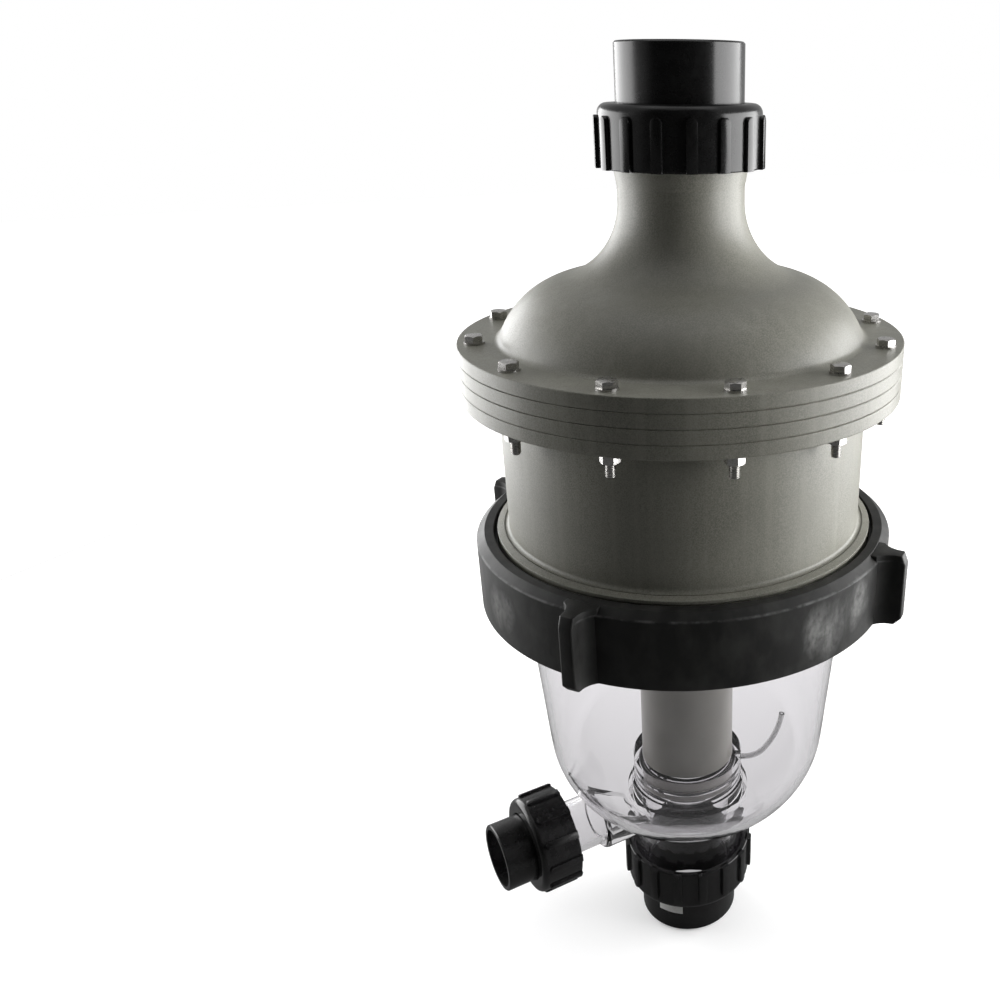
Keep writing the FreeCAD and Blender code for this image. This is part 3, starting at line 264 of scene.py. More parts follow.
def turned_tree():
    """Turns a closed outline once round the Z axis."""
    tree, given = shape_tree("Turned", {"Steps": "Int", "Finish": "Material"})
    grid, share, sample = swept_grid(tree, given["Geometry"], given["Steps"])
    turn = calc(tree, "MULTIPLY", share, 2 * math.pi)
    spot = add(tree, "ShaderNodeVectorRotate", {"Vector": sample, "Angle": turn}, rotation_type="Z_AXIS")
    placed = add(tree, "GeometryNodeSetPosition", {"Geometry": grid, "Position": spot})
    closed = add(tree, "GeometryNodeMergeByDistance", {"Geometry": placed, "Distance": MERGE})
    return end_tree(tree, closed, given["Finish"])


def thread_tree():
    """Winds a closed outline round the Z axis as a screw thread that fades out at both ends."""
    inputs = {"Steps": "Int", "Turns": "Float", "Pitch": "Float", "Radius": "Float", "Fade": "Float",
              "Finish": "Material"}
    tree, given = shape_tree("Thread", inputs)
    grid, share, sample = swept_grid(tree, given["Geometry"], given["Steps"])
    along = calc(tree, "MULTIPLY", share, given["Turns"])
    turn = calc(tree, "MULTIPLY", along, 2 * math.pi)
    left = calc(tree, "SUBTRACT", given["Turns"], along)
    near_end = calc(tree, "DIVIDE", calc(tree, "MINIMUM", along, left), given["Fade"])
    height = add(tree, "ShaderNodeMapRange", {"Value": near_end}, interpolation_type="SMOOTHSTEP")
    parts = add(tree, "ShaderNodeSeparateXYZ", {0: sample})
    out = calc(tree, "ADD", calc(tree, "MULTIPLY", parts.outputs[0], height), given["Radius"])
    rise = calc(tree, "MULTIPLY", along, given["Pitch"])
    level = calc(tree, "ADD", calc(tree, "MULTIPLY", parts.outputs[2], height), rise)
    flat = add(tree, "ShaderNodeCombineXYZ", {0: out, 2: level})
    spot = add(tree, "ShaderNodeVectorRotate", {"Vector": flat, "Angle": turn}, rotation_type="Z_AXIS")
    placed = add(tree, "GeometryNodeSetPosition", {"Geometry": grid, "Position": spot})
    closed = add(tree, "GeometryNodeMergeByDistance", {"Geometry": placed, "Distance": MERGE})
    return end_tree(tree, closed, given["Finish"])


def spread_tree():
    """Copies a piece evenly round the Z axis, each copy turned a little further about its own."""
    inputs = {"Count": "Int", "Radius": "Float", "Height": "Float", "First Angle": "Float",
              "Turn Step": "Float", "Finish": "Material"}
    tree, given = shape_tree("Spread", inputs)
    index = add(tree, "GeometryNodeInputIndex")
    apart = calc(tree, "DIVIDE", 2 * math.pi, given["Count"])
    angle = calc(tree, "ADD", calc(tree, "MULTIPLY", index, apart), given["First Angle"])
    across = calc(tree, "MULTIPLY", calc(tree, "COSINE", angle), given["Radius"])
    along = calc(tree, "MULTIPLY", calc(tree, "SINE", angle), given["Radius"])
    spot = add(tree, "ShaderNodeCombineXYZ", {0: across, 1: along, 2: given["Height"]})
    points = add(tree, "GeometryNodePoints", {"Count": given["Count"], "Position": spot})
    spin = calc(tree, "ADD", calc(tree, "MULTIPLY", index, given["Turn Step"]), angle)
    turn = add(tree, "ShaderNodeCombineXYZ", {2: spin})
    copies = add(tree, "GeometryNodeInstanceOnPoints", {
        "Points": points, "Instance": given["Geometry"], "Rotation": turn})
    return end_tree(tree, copies, given["Finish"])


def grown(start_mesh, tree_name, finish, **inputs):
    """The plain mesh that one of the trees makes from a starting mesh."""
    tree = bpy.data.node_groups[tree_name]
    start = bpy.data.objects.new("start", start_mesh)
    bpy.context.scene.collection.objects.link(start)
    modifier = start.modifiers.new(tree_name, "NODES")
    modifier.node_group = tree
    sockets = {item.name: item.identifier for item in tree.interface.items_tree if item.in_out == "INPUT"}
    modifier[sockets["Finish"]] = finish
    for name, value in inputs.items():
        modifier[sockets[name.replace("_", " ").title()]] = value
    graph = bpy.context.evaluated_depsgraph_get()
    mesh = bpy.data.meshes.new_from_object(start.evaluated_get(graph), depsgraph=graph)
    bpy.data.objects.remove(start)
    bpy.data.meshes.remove(start_mesh)
    return mesh


def turned(corners, finish, steps=160):
    """A closed body turned from an outline about Z."""
    return grown(line_mesh(soften(corners)), "Turned", finish, steps=steps)


def thread(finish, radius, depth, pitch, length, steps_a_turn=48):
    """A screw thread of a length, standing on a radius and starting at z = 0."""
    sunk = 0.15
    foot = pitch * 0.4
    crest = pitch * 0.12
    form = [(-sunk, -foot), (depth, -crest), (depth, crest), (-sunk, foot)]
    turns = (length - 2 * foot) / pitch
    mesh = grown(
        line_mesh(form), "Thread", finish, steps=math.ceil(turns * steps_a_turn), turns=turns,
        pitch=pitch * MM, radius=radius * MM, fade=min(0.35, turns / 4))
    return moved(mesh, Matrix.Translation((0, 0, foot * MM)))


def moved(mesh, matrix):
    mesh.transform(matrix)
    return mesh


def upwards(x, y, z):
    return Matrix.Translation((x * MM, y * MM, z * MM))


def add_piece(name, meshes, finish, body, replaces=()):
    """One finished piece from several meshes, riding on a CAD body and standing for CAD nodes."""
    whole = bmesh.new()
    for mesh in meshes:
        part = bmesh.new()
        part.from_mesh(mesh)
        bmesh.ops.remove_doubles(part, verts=part.verts, dist=MERGE)
        if part.calc_volume(signed=True) < 0:
            bmesh.ops.reverse_faces(part, faces=part.faces)
        part.to_mesh(mesh)
        part.free()
        whole.from_mesh(mesh)
        bpy.data.meshes.remove(mesh)
    for face in whole.faces:
        face.smooth = True
        face.material_index = 0
    for edge in whole.edges:
        edge.smooth = edge.calc_face_angle(0) < SMOOTH_LIMIT
    made = bpy.data.meshes.new(name)
    whole.to_mesh(made)
    whole.free()
    made.materials.append(finish)
    item = bpy.data.objects.new(name, made)
    bpy.context.scene.collection.objects.link(item)
    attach(item, body)
    for node in replaces:
        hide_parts(node)
    return item


# Finishes

def new_finish(name):
    """A material, its node tree, its shader and the coordinates of a point on the piece."""
    material = bpy.data.materials.new(name)
    material.use_nodes = True
    tree = material.node_tree
    shader = tree.nodes["Principled BSDF"]
    spot = add(tree, "ShaderNodeTexCoord").outputs["Object"]
    return material, tree, shader, spot


def noise(tree, spot, scale, detail=2.0, stretch=None):
    """Cloudy values from 0 to 1, with so many lumps a metre."""
    if stretch is not None:
        spot = add(tree, "ShaderNodeVectorMath", {0: spot, 1: stretch}, operation="MULTIPLY")
    return add(tree, "ShaderNodeTexNoise", {"Vector": spot, "Scale": scale, "Detail": detail}).outputs["Fac"]


def ranged(tree, value, low, high, to_low=0.0, to_high=1.0):
    return add(tree, "ShaderNodeMapRange", {0: value, 1: low, 2: high, 3: to_low, 4: to_high}).outputs[0]


def blended(tree, share, first, second):
    """A colour between two others."""
    ends = [(*end, 1.0) if isinstance(end, tuple) else end for end in (first, second)]
    return add(tree, "ShaderNodeMix", {0: share, 6: ends[0], 7: ends[1]}, data_type="RGBA").outputs[2]


def relief(tree, shader, height, strength, distance):
    bump = add(tree, "ShaderNodeBump", {"Height": height, "Strength": strength, "Distance": distance})
    tree.links.new(bump.outputs[0], shader.inputs["Normal"])


def feed(tree, shader, base, roughness):
    """Gives a shader its colour and its roughness."""
    tree.links.new(base, shader.inputs["Base Color"])
    tree.links.new(roughness, shader.inputs["Roughness"])


def lighter(colour, factor):
    return tuple(min(1.0, value * factor) for value in colour)


def gloss_black(name, colour):
    """Moulded black plastic with a soft swirl in its gloss."""
    material, tree, shader, spot = new_finish(name)
    swirl = noise(tree, spot, 38, 3, (1, 1, 0.5))
    haze = noise(tree, spot, 210, 3)
    dust = noise(tree, spot, 1500, 2)
    base = blended(tree, ranged(tree, haze, 0.35, 0.75), colour, lighter(colour, 1.7))
    base = blended(tree, ranged(tree, dust, 0.7, 0.78), base, lighter(colour, 5))
    feed(tree, shader, base, ranged(tree, swirl, 0.3, 0.7, 0.17, 0.27))
    shader.inputs["IOR"].default_value = 1.56
    shader.inputs["Specular IOR Level"].default_value = 0.3
    relief(tree, shader, swirl, 0.25, 0.0006)
    return material


def speckled_grey(name, colour):
    """Warm grey moulded resin, finely speckled, with faint flow lines from top to bottom."""
    material, tree, shader, spot = new_finish(name)
    grain = noise(tree, spot, 1300, 2)
    cloud = noise(tree, spot, 26, 3)
    flow = noise(tree, spot, 150, 4, (1, 1, 0.035))
    patch = noise(tree, spot, 11, 4)
    pale = add(tree, "ShaderNodeTexVoronoi", {"Vector": spot, "Scale": 420.0}).outputs["Distance"]
    base = blended(tree, ranged(tree, grain, 0.36, 0.64), lighter(colour, 0.76), lighter(colour, 1.24))
    base = blended(tree, ranged(tree, cloud, 0.3, 0.7, 0.0, 0.55), base, lighter(colour, 1.1))
    base = blended(tree, ranged(tree, flow, 0.5, 0.75, 0.0, 0.4), base, lighter(colour, 1.4))
    base = blended(tree, ranged(tree, patch, 0.42, 0.7, 0.0, 0.35), base, lighter(colour, 0.6))
    base = blended(tree, ranged(tree, pale, 0.05, 0.09, 0.6, 0.0), base, lighter(colour, 1.9))
    feed(tree, shader, base, ranged(tree, cloud, 0.3, 0.7, 0.4, 0.48))
    shader.inputs["IOR"].default_value = 1.5
    relief(tree, shader, noise(tree, spot, 620, 3), 0.22, 0.0002)
    return material


def scuffed_black(name, colour):
    """Matt black moulded ring, with a worn top bevel and pale scuffs on its side."""
    material, tree, shader, spot = new_finish(name)
    grain = noise(tree, spot, 900, 3)
    cloud = noise(tree, spot, 34, 3)
    dusty = noise(tree, spot, 75, 6, (1, 1, 0.6))
    base = blended(tree, ranged(tree, cloud, 0.3, 0.7), colour, lighter(colour, 1.8))
    base = blended(tree, ranged(tree, dusty, 0.42, 0.7, 0.0, 0.7), base, lighter(colour, 4.5))
    parts = add(tree, "ShaderNodeSeparateXYZ", {0: spot})
    bevel = ranged(tree, parts.outputs[2], (RING_TOP - 5.6) * MM, (RING_TOP - 4.4) * MM)
    past = ranged(tree, parts.outputs[2], (RING_TOP - 4.4) * MM, (RING_TOP - 3.6) * MM, 1.0, 0.0)
    wear = calc(tree, "MULTIPLY", calc(tree, "MULTIPLY", bevel, past), ranged(
        tree, noise(tree, spot, 120, 4), 0.4, 0.65, 0.0, 0.5))
    base = blended(tree, wear, base, (0.2, 0.2, 0.2))
    streak = noise(tree, spot, 62, 5, (1, 1, 0.5))
    broken = ranged(tree, noise(tree, spot, 300, 4, (1, 1, 0.7)), 0.15, 0.6)
    for angle, height, reach, share in SCUFFS:
        turn = math.radians(angle)
        centre = (RING_RADIUS * MM * math.cos(turn), RING_RADIUS * MM * math.sin(turn), height * MM)
        away = add(tree, "ShaderNodeVectorMath", {0: spot, 1: centre}, operation="DISTANCE")
        near = ranged(tree, away.outputs["Value"], reach * MM, 0.0)
        worn = ranged(tree, calc(tree, "MULTIPLY", streak, near), 0.2, 0.42)
        amount = calc(tree, "MULTIPLY", calc(tree, "MULTIPLY", worn, broken), share)
        base = blended(tree, amount, base, (0.42, 0.42, 0.41))
    feed(tree, shader, base, ranged(tree, cloud, 0.3, 0.7, 0.46, 0.6))
    shader.inputs["Specular IOR Level"].default_value = 0.3
    relief(tree, shader, grain, 0.3, 0.0002)
    return material


def clear_plastic(name, colour, roughness):
    """Clear moulded plastic that lets lamps through."""
    material, tree, shader, spot = new_finish(name)
    shader.inputs["Base Color"].default_value = (*colour, 1.0)
    shader.inputs["Transmission Weight"].default_value = 1.0
    shader.inputs["IOR"].default_value = 1.49
    shader.inputs["Specular Tint"].default_value = (0.5, 0.5, 0.5, 1.0)
    haze = noise(tree, spot, 16, 2)
    uneven = ranged(tree, haze, 0.3, 0.7, roughness * 0.6, roughness * 1.4)
    tree.links.new(uneven, shader.inputs["Roughness"])
    relief(tree, shader, noise(tree, spot, 22, 1), 0.08, 0.0004)
    through = add(tree, "ShaderNodeBsdfTransparent", {"Color": (*lighter(colour, 0.97), 1.0)})
    rays = add(tree, "ShaderNodeLightPath")
    both = add(tree, "ShaderNodeMixShader", {0: rays.outputs["Is Shadow Ray"], 1: shader, 2: through})
    tree.links.new(both.outputs[0], tree.nodes["Material Output"].inputs["Surface"])
    return material


def satin_plastic(name, colour, roughness):
    """Satin plastic of one colour, slightly cloudy."""
    material, tree, shader, spot = new_finish(name)
    cloud = noise(tree, spot, 30, 3)
    grain = noise(tree, spot, 800, 2)
    base = blended(tree, ranged(tree, cloud, 0.3, 0.7), lighter(colour, 0.88), lighter(colour, 1.1))
    feed(tree, shader, base, ranged(tree, cloud, 0.3, 0.7, roughness * 0.85, roughness * 1.15))
    relief(tree, shader, grain, 0.12, 0.0001)
    return material


def bright_steel(name, colour):
    """Turned stainless steel with fine rings of tool marks."""
    material, tree, shader, spot = new_finish(name)
    marks = noise(tree, spot, 500, 2, (1, 1, 5))
    cloud = noise(tree, spot, 160, 2)
    base = blended(tree, ranged(tree, cloud, 0.3, 0.7), lighter(colour, 0.82), lighter(colour, 1.12))
    feed(tree, shader, base, ranged(tree, marks, 0.3, 0.7, 0.24, 0.34))
    shader.inputs["Metallic"].default_value = 1.0
    relief(tree, shader, marks, 0.05, 0.00005)
    return material


def soft_rubber(name, colour):
    """Matt black rubber."""
    material, tree, shader, spot = new_finish(name)
    grain = noise(tree, spot, 1100, 2)
    base = blended(tree, ranged(tree, grain, 0.35, 0.65), colour, lighter(colour, 1.25))
    feed(tree, shader, base, ranged(tree, grain, 0.3, 0.7, 0.62, 0.7))
    relief(tree, shader, grain, 0.05, 0.0001)
    return material


def bare_paper(name, colour):
    """White paper label with a faint fibre and slightly grubby edges."""
    material, tree, shader, spot = new_finish(name)
    fibre = noise(tree, spot, 2200, 3)
    grime = noise(tree, spot, 260, 3)
    base = blended(tree, ranged(tree, grime, 0.4, 0.75, 0.0, 0.35), colour, lighter(colour, 0.72))
    feed(tree, shader, base, ranged(tree, fibre, 0.3, 0.7, 0.55, 0.7))
    relief(tree, shader, fibre, 0.15, 0.00005)
    return material


def finish(key):
    """One of the part's materials, made once. The frame has plain ones of its own, named by slot."""
    name = f"{key}_finish"
    ready = bpy.data.materials.get(name)
    if ready is not None:
        return ready
    colours = bpy.context.scene.prefilter.colours
    make, tone, *roughness = {
        "black_union": (gloss_black, colours.union),
        "grey_body": (speckled_grey, colours.body),
        "black_ring": (scuffed_black, colours.ring),
        "clear_bowl": (clear_plastic, colours.bowl, 0.006),
        "clear_tube": (clear_plastic, colours.bleed_tube, 0.03),
        "grey_tube": (satin_plastic, colours.feed_tube, 0.38),
        "cyclone_plastic": (satin_plastic, colours.cyclones, 0.42),
        "stainless": (bright_steel, colours.steel),
        "seal_rubber": (soft_rubber, colours.seals),
        "label_paper": (bare_paper, colours.label),
    }[key]
    return make(name, tuple(tone), *roughness)


CARRIED_NODES = {
    "black_union": ("outlet_tail", "inlet_tail", "drain_tail"),
    "grey_body": ("vortex_plate", "cyclone_plate"),
    "grey_tube": ("feed_tube",),
    "clear_tube": ("bleed_tube",),
    "cyclone_plastic": ("hydrocyclones", "vortex_finders"),
    "stainless": ("bolt_washers", "nut_washers"),
    "seal_rubber": (
        "dome_o_ring", "plate_o_ring", "body_o_ring", "bowl_seal_o_ring", "feed_tube_upper_o_ring",
        "feed_tube_lower_o_ring", "outlet_o_ring", "inlet_o_ring", "drain_o_ring", "hydrocyclone_o_rings"),
}


# Settings

def colour(name, description, default):
    return FloatVectorProperty(
        name=name, description=description, subtype="COLOR", size=3, min=0.0, max=1.0, default=default)


def length(name, description, default):
    return FloatProperty(
        name=name, description=description, subtype="DISTANCE", unit="LENGTH", min=0.0, precision=5,
        default=default * MM)


def angle(name, description, default):
    return FloatProperty(
        name=name, description=description, subtype="ANGLE", unit="ROTATION", default=math.radians(default))


def light(name, description, default):
    return FloatProperty(name=name, description=description, min=0.0, default=default)


class PrefilterColours(bpy.types.PropertyGroup):
    union: colour("Unions", "Colour of the pipe unions", (0.008, 0.008, 0.008))
    body: colour("Dome and body", "Colour of the dome, the plates and the body", (0.218, 0.215, 0.182))
    ring: colour("Lock ring", "Colour of the lock ring", (0.008, 0.008, 0.0075))
    bowl: colour("Bowl", "Tint of the clear bowl", (0.95, 0.94, 0.955))
    bleed_tube: colour("Bleed tube", "Tint of the bleed tube", (0.62, 0.62, 0.62))
    feed_tube: colour("Feed tube", "Colour of the feed tube", (0.172, 0.17, 0.152))
    cyclones: colour("Hydrocyclones", "Colour of the hydrocyclones", (0.55, 0.55, 0.53))
    steel: colour("Fasteners", "Colour of the steel fasteners", (0.5, 0.49, 0.475))
    seals: colour("Seals", "Colour of the rubber seals", (0.02, 0.02, 0.02))
    label: colour("Label", "Colour of the bare label", (0.8, 0.8, 0.78))


class PrefilterThreads(bpy.types.PropertyGroup):
    union_pitch: length("Union pitch", "Rise of the pipe union threads in one turn", 4)
    ring_pitch: length("Ring pitch", "Rise of the lock ring's thread in one turn", 8)
    bolt_pitch: length("Bolt pitch", "Rise of the bolt threads in one turn", 1)


class PrefilterFasteners(bpy.types.PropertyGroup):
    count: IntProperty(name="Bolts", description="Number of flange bolts", default=12, min=1)
    circle: length("Bolt circle", "Radius of the circle that the bolts stand on", 128.4)
    first_angle: angle("First bolt", "Angle of the first bolt from +X", 11.5)
    flats: length("Across flats", "Width of the bolt heads and nuts", 10)
    bolt_turn: angle("Bolt turn", "How much further each bolt is turned than the last", 17)
    nut_turn: angle("Nut turn", "How much further each nut is turned than the last", 23)


class PrefilterUnions(bpy.types.PropertyGroup):
    pipe_ribs: IntProperty(name="Pipe nut ribs", description="Ribs round each pipe nut", default=16, min=0)
    drain_ribs: IntProperty(name="Drain nut ribs", description="Ribs round the drain nut", default=12, min=0)
    outlet_angle: angle("Outlet ribs", "Angle of the outlet nut's first rib", -1)
    inlet_angle: angle("Inlet ribs", "Angle of the inlet nut's first rib", -4.5)
    drain_angle: angle("Drain ribs", "Angle of the drain nut's first rib", 4)


class PrefilterStage(bpy.types.PropertyGroup):
    view_angle: angle("View angle", "Turn of the photographer's side about the upright axis", -33.5)
    left_light: light("Left light", "Radiance of the left lamp", 5.4)
    right_light: light("Right light", "Radiance of the right lamp", 7.2)
    top_light: light("Top light", "Radiance of the overhead lamp", 0.6)
    room_light: light("Room light", "Light from the room's sides", 0.18)


class PrefilterSettings(bpy.types.PropertyGroup):
    colours: PointerProperty(type=PrefilterColours)
    threads: PointerProperty(type=PrefilterThreads)
    fasteners: PointerProperty(type=PrefilterFasteners)
    unions: PointerProperty(type=PrefilterUnions)
    stage: PointerProperty(type=PrefilterStage)


# Pieces

def dome_corners():
    """Half section of the dome, from the top of its bore round the outside and back inside."""
    neck, wall, shoulder = 38.3, 6.5, 43.5
    thread_root, thread_start = PIPE_THREAD[0], UPPER_FACE - NECK_THREAD_LENGTH
    groove_in, groove_out, groove_depth = 35.35, 39.05, 3.6
    bend, crown, foot = 46.3, 55.7, 5.0
    bend_x, bend_z = neck + bend, FLANGE_TOP + 80.2
    crown_x, crown_z = 62.006, FLANGE_TOP - 19.27
    foot_x, foot_z = 117.64, FLANGE_TOP + foot
    crown_start, crown_end, crown_end_inside = 77.2, 23.57, 12.64
    bottom = FLANGE_TOP - FLANGE_LAYER
    seal_in, seal_out = 116.35, 120.05
    return [
        (neck - wall, UPPER_FACE),
        (groove_in, UPPER_FACE),
        (groove_in, UPPER_FACE - groove_depth),
        (groove_out, UPPER_FACE - groove_depth),
        (groove_out, UPPER_FACE),
        (thread_root, UPPER_FACE, 0.6),
        (thread_root, thread_start, 0.5),
        (shoulder, thread_start, 0.2),
        (shoulder, thread_start - 1.2, 0.4),
        (neck + 2.4, thread_start - 4, 1.0),
        (neck, FLANGE_TOP + 88.6, 3.0),
        *arc(bend_x, bend_z, bend, 180, crown_start + 180, 24),
        *arc(crown_x, crown_z, crown, crown_start, crown_end, 24)[1:],
        *arc(foot_x, foot_z, foot, crown_end + 180, 270, 8)[1:],
        (FLANGE_RADIUS, FLANGE_TOP, FLANGE_ROUND),
        (FLANGE_RADIUS, bottom, FLANGE_ROUND),
        (seal_out, bottom),
        (seal_out, bottom + groove_depth),
        (seal_in, bottom + groove_depth),
        (seal_in, bottom),
        *arc(crown_x, crown_z, crown - wall, crown_end_inside, crown_start, 20),
        *arc(bend_x, bend_z, bend + wall, crown_start + 180, 180, 20)[1:],
    ]


def body_corners():
    """Half section of the body, from its upper flange down to the threaded collar."""
    wall_in, wall_out = 111.5, 117.5
    collar_in, thread_root, collar_out = 117.0, RING_THREAD[0], 125.4
    ledge = COLLAR_BOTTOM + 35.7
    shelf = ledge + 1.2
    cove = wall_out + 2.4
    step = ledge - 6
    flange_top = FLANGE_BOTTOM + FLANGE_LAYER
    return [
        (wall_in, flange_top),
        (FLANGE_RADIUS, flange_top, FLANGE_ROUND),
        (FLANGE_RADIUS, FLANGE_BOTTOM, FLANGE_ROUND),
        (wall_out, FLANGE_BOTTOM, 3.0),
        (wall_out, shelf, 2.4),
        (cove, shelf),
        (cove, shelf - 0.7),
        (cove + 1, shelf - 0.7),
        (cove + 1, shelf),
        (collar_out, ledge, 0.3),
        (collar_out, ledge - 2.0, 0.3),
        (thread_root, ledge - 3.0, 0.3),
        (thread_root, COLLAR_BOTTOM, 0.8),
        (collar_in, COLLAR_BOTTOM),
        (collar_in, step),
        (wall_in, step + collar_in - wall_in),
    ]


def ring_corners():
    """Half section of the lock ring, without its lugs."""
    lip, lip_top = 113.2, RING_BOTTOM + 7.5
    mouth, mouth_bottom = 128.0, RING_TOP - 6.3
    thread_in, bevel_in = 125.8, 134.0
    return [
        (mouth, RING_TOP, 0.5),
        (bevel_in, RING_TOP, 0.7),
        (RING_RADIUS, RING_TOP - RING_BEVEL, 0.8),
        (RING_RADIUS, RING_BOTTOM, 1.5),
        (lip, RING_BOTTOM, 0.5),
        (lip, lip_top, 0.3),
        (thread_in, lip_top),
        (thread_in, mouth_bottom),
        (mouth, mouth_bottom),
    ]


def lug_plan(tip):
    """Outline of a lug seen from above, from its root to a tip at some radius."""
    inner, root, half_root, half_tip = 130.5, 138.2, 10.9, 4.5
    flare, flare_end, corner = 14.0, root + 11.3, 1.4
    across, along = half_root - half_tip, flare_end - root
    chord = math.hypot(across, along)
    sag = math.sqrt(flare ** 2 - (chord / 2) ** 2)
    middle = ((root + flare_end) / 2, (half_root + half_tip) / 2)
    centre = (middle[0] + sag * across / chord, middle[1] + sag * along / chord)
    start = math.degrees(math.atan2(half_root - centre[1], root - centre[0]))
    end = math.degrees(math.atan2(half_tip - centre[1], flare_end - centre[0]))
    side = arc(*centre, flare, start % 360, end % 360, 6)
    round_tip = arc(tip - corner, half_tip - corner, corner, 90, 0, 4)
    upper = [(inner, half_root), *side, *round_tip]
    return upper + [(x, -y) for x, y in reversed(upper)]


def lug_mesh():
    """One lug of the lock ring, sloped off at the top and the bottom of its tip."""
    low, high = RING_BOTTOM + 0.3, RING_TOP - 0.3
    tip = 155.5
    levels = ((low, tip - 4.5), (low + 5, tip), (high - 6.3, tip), (high, tip - 2.5))
    loops = [[(x, y, z) for x, y in lug_plan(reach)] for z, reach in levels]
    return bevelled(layered_mesh(loops), 0.7, 3)


def nut_meshes(sizes, ribs, rib_angle, finish_used):
    """A union nut's body and its ribs, on a sealing face at z = 0 and opening downwards."""
    top = sizes["shoulder"] + sizes["cap"]
    bottom = -sizes["skirt"]
    hole, bore, outside, rib_out = sizes["hole"], sizes["bore"], sizes["nut"], sizes["rib"]
    edge = sizes["chamfer"]
    body = turned([
        (bore + edge, bottom),
        (outside, bottom, edge),
        (outside, top, sizes["round"]),
        (hole + edge, top, 0.3),
        (hole, top - edge, 0.3),
        (hole, sizes["shoulder"]),
        (bore, sizes["shoulder"]),
        (bore, bottom + edge),
    ], finish_used)
    half = sizes["rib_width"] / 2
    centre = top - sizes["setback"] - half
    loops = []
    sunk = (bore + outside) / 2
    for reach, inset in ((sunk, 0), (rib_out - 0.7, 0), (rib_out - 0.2, 0.2), (rib_out, 0.7)):
        head = arc(0, centre, half - inset, 0, 180, 12)
        loop = [(-half + inset, bottom + inset), (half - inset, bottom + inset), *head]
        loops.append([(reach, y, z) for y, z in loop])
    rib = layered_mesh(loops)
    copies = grown(rib, "Spread", finish_used, count=ribs, first_angle=rib_angle)
    return [body, copies]


PIPE_NUT = {
    "hole": 38.0, "bore": 43.8, "nut": 48.2, "rib": 50.5, "skirt": 20.9, "shoulder": 7.1, "cap": 7.5,
    "round": 5.5, "chamfer": 1.0, "rib_width": 6.6, "setback": 6.5,
}
DRAIN_NUT = {
    "hole": 23.9, "bore": 30.0, "nut": 33.6, "rib": 35.3, "skirt": 16.4, "shoulder": 6.1, "cap": 6.5,
    "round": 4.0, "chamfer": 0.7, "rib_width": 5.2, "setback": 4.8,
}


class PREFILTER_OT_trees(bpy.types.Operator):
    """Makes the node trees that turn, wind and repeat shapes"""
    bl_idname = "prefilter.trees"
    bl_label = "Shape trees"
    bl_options = {"REGISTER", "UNDO"}

    def execute(self, context):
        for make in (turned_tree, thread_tree, spread_tree):
            make()
        return {"FINISHED"}


class PREFILTER_OT_carried(bpy.types.Operator):
    """Gives the CAD nodes that stay as they are their finishes"""
    bl_idname = "prefilter.carried"
    bl_label = "Finishes of carried nodes"
    bl_options = {"REGISTER", "UNDO"}

    def execute(self, context):
        for key, names in CARRIED_NODES.items():
            for name in names:
                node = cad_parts[name]
                node.data.materials.clear()
                node.data.materials.append(finish(key))
        return {"FINISHED"}


class PREFILTER_OT_dome(bpy.types.Operator):
    """Builds the top dome with its threaded neck"""
    bl_idname = "prefilter.dome"
    bl_label = "Top dome"
    bl_options = {"REGISTER", "UNDO"}

    def execute(self, context):
        pitch = context.scene.prefilter.threads.union_pitch / MM
        grey = finish("grey_body")
        winding = thread(grey, *PIPE_THREAD, pitch, NECK_THREAD_LENGTH)
        moved(winding, upwards(0, 0, UPPER_FACE - NECK_THREAD_LENGTH))
        shell = turned(dome_corners(), grey)
        add_piece("dome_shell", [shell, winding], grey, "housing", ["top_dome"])
        return {"FINISHED"}


class PREFILTER_OT_body(bpy.types.Operator):
    """Builds the main body with its threaded collar"""
    bl_idname = "prefilter.body"
    bl_label = "Main body"
    bl_options = {"REGISTER", "UNDO"}

    def execute(self, context):
        pitch = context.scene.prefilter.threads.ring_pitch / MM
        grey = finish("grey_body")
        winding = moved(thread(grey, *RING_THREAD, pitch, 31, 96), upwards(0, 0, COLLAR_BOTTOM + 1))
        shell = turned(body_corners(), grey)
        add_piece("body_shell", [shell, winding], grey, "housing", ["main_body"])
        return {"FINISHED"}


class PREFILTER_OT_ring(bpy.types.Operator):
    """Builds the lock ring and its four lugs"""
    bl_idname = "prefilter.ring"
    bl_label = "Lock ring"
    bl_options = {"REGISTER", "UNDO"}

    def execute(self, context):
        black = finish("black_ring")
        lugs = grown(lug_mesh(), "Spread", black, count=4, first_angle=math.radians(33.7))
        shell = turned(ring_corners(), black)
        add_piece("ring_shell", [shell, lugs], black, "lock_ring", ["lock_ring"])
        return {"FINISHED"}


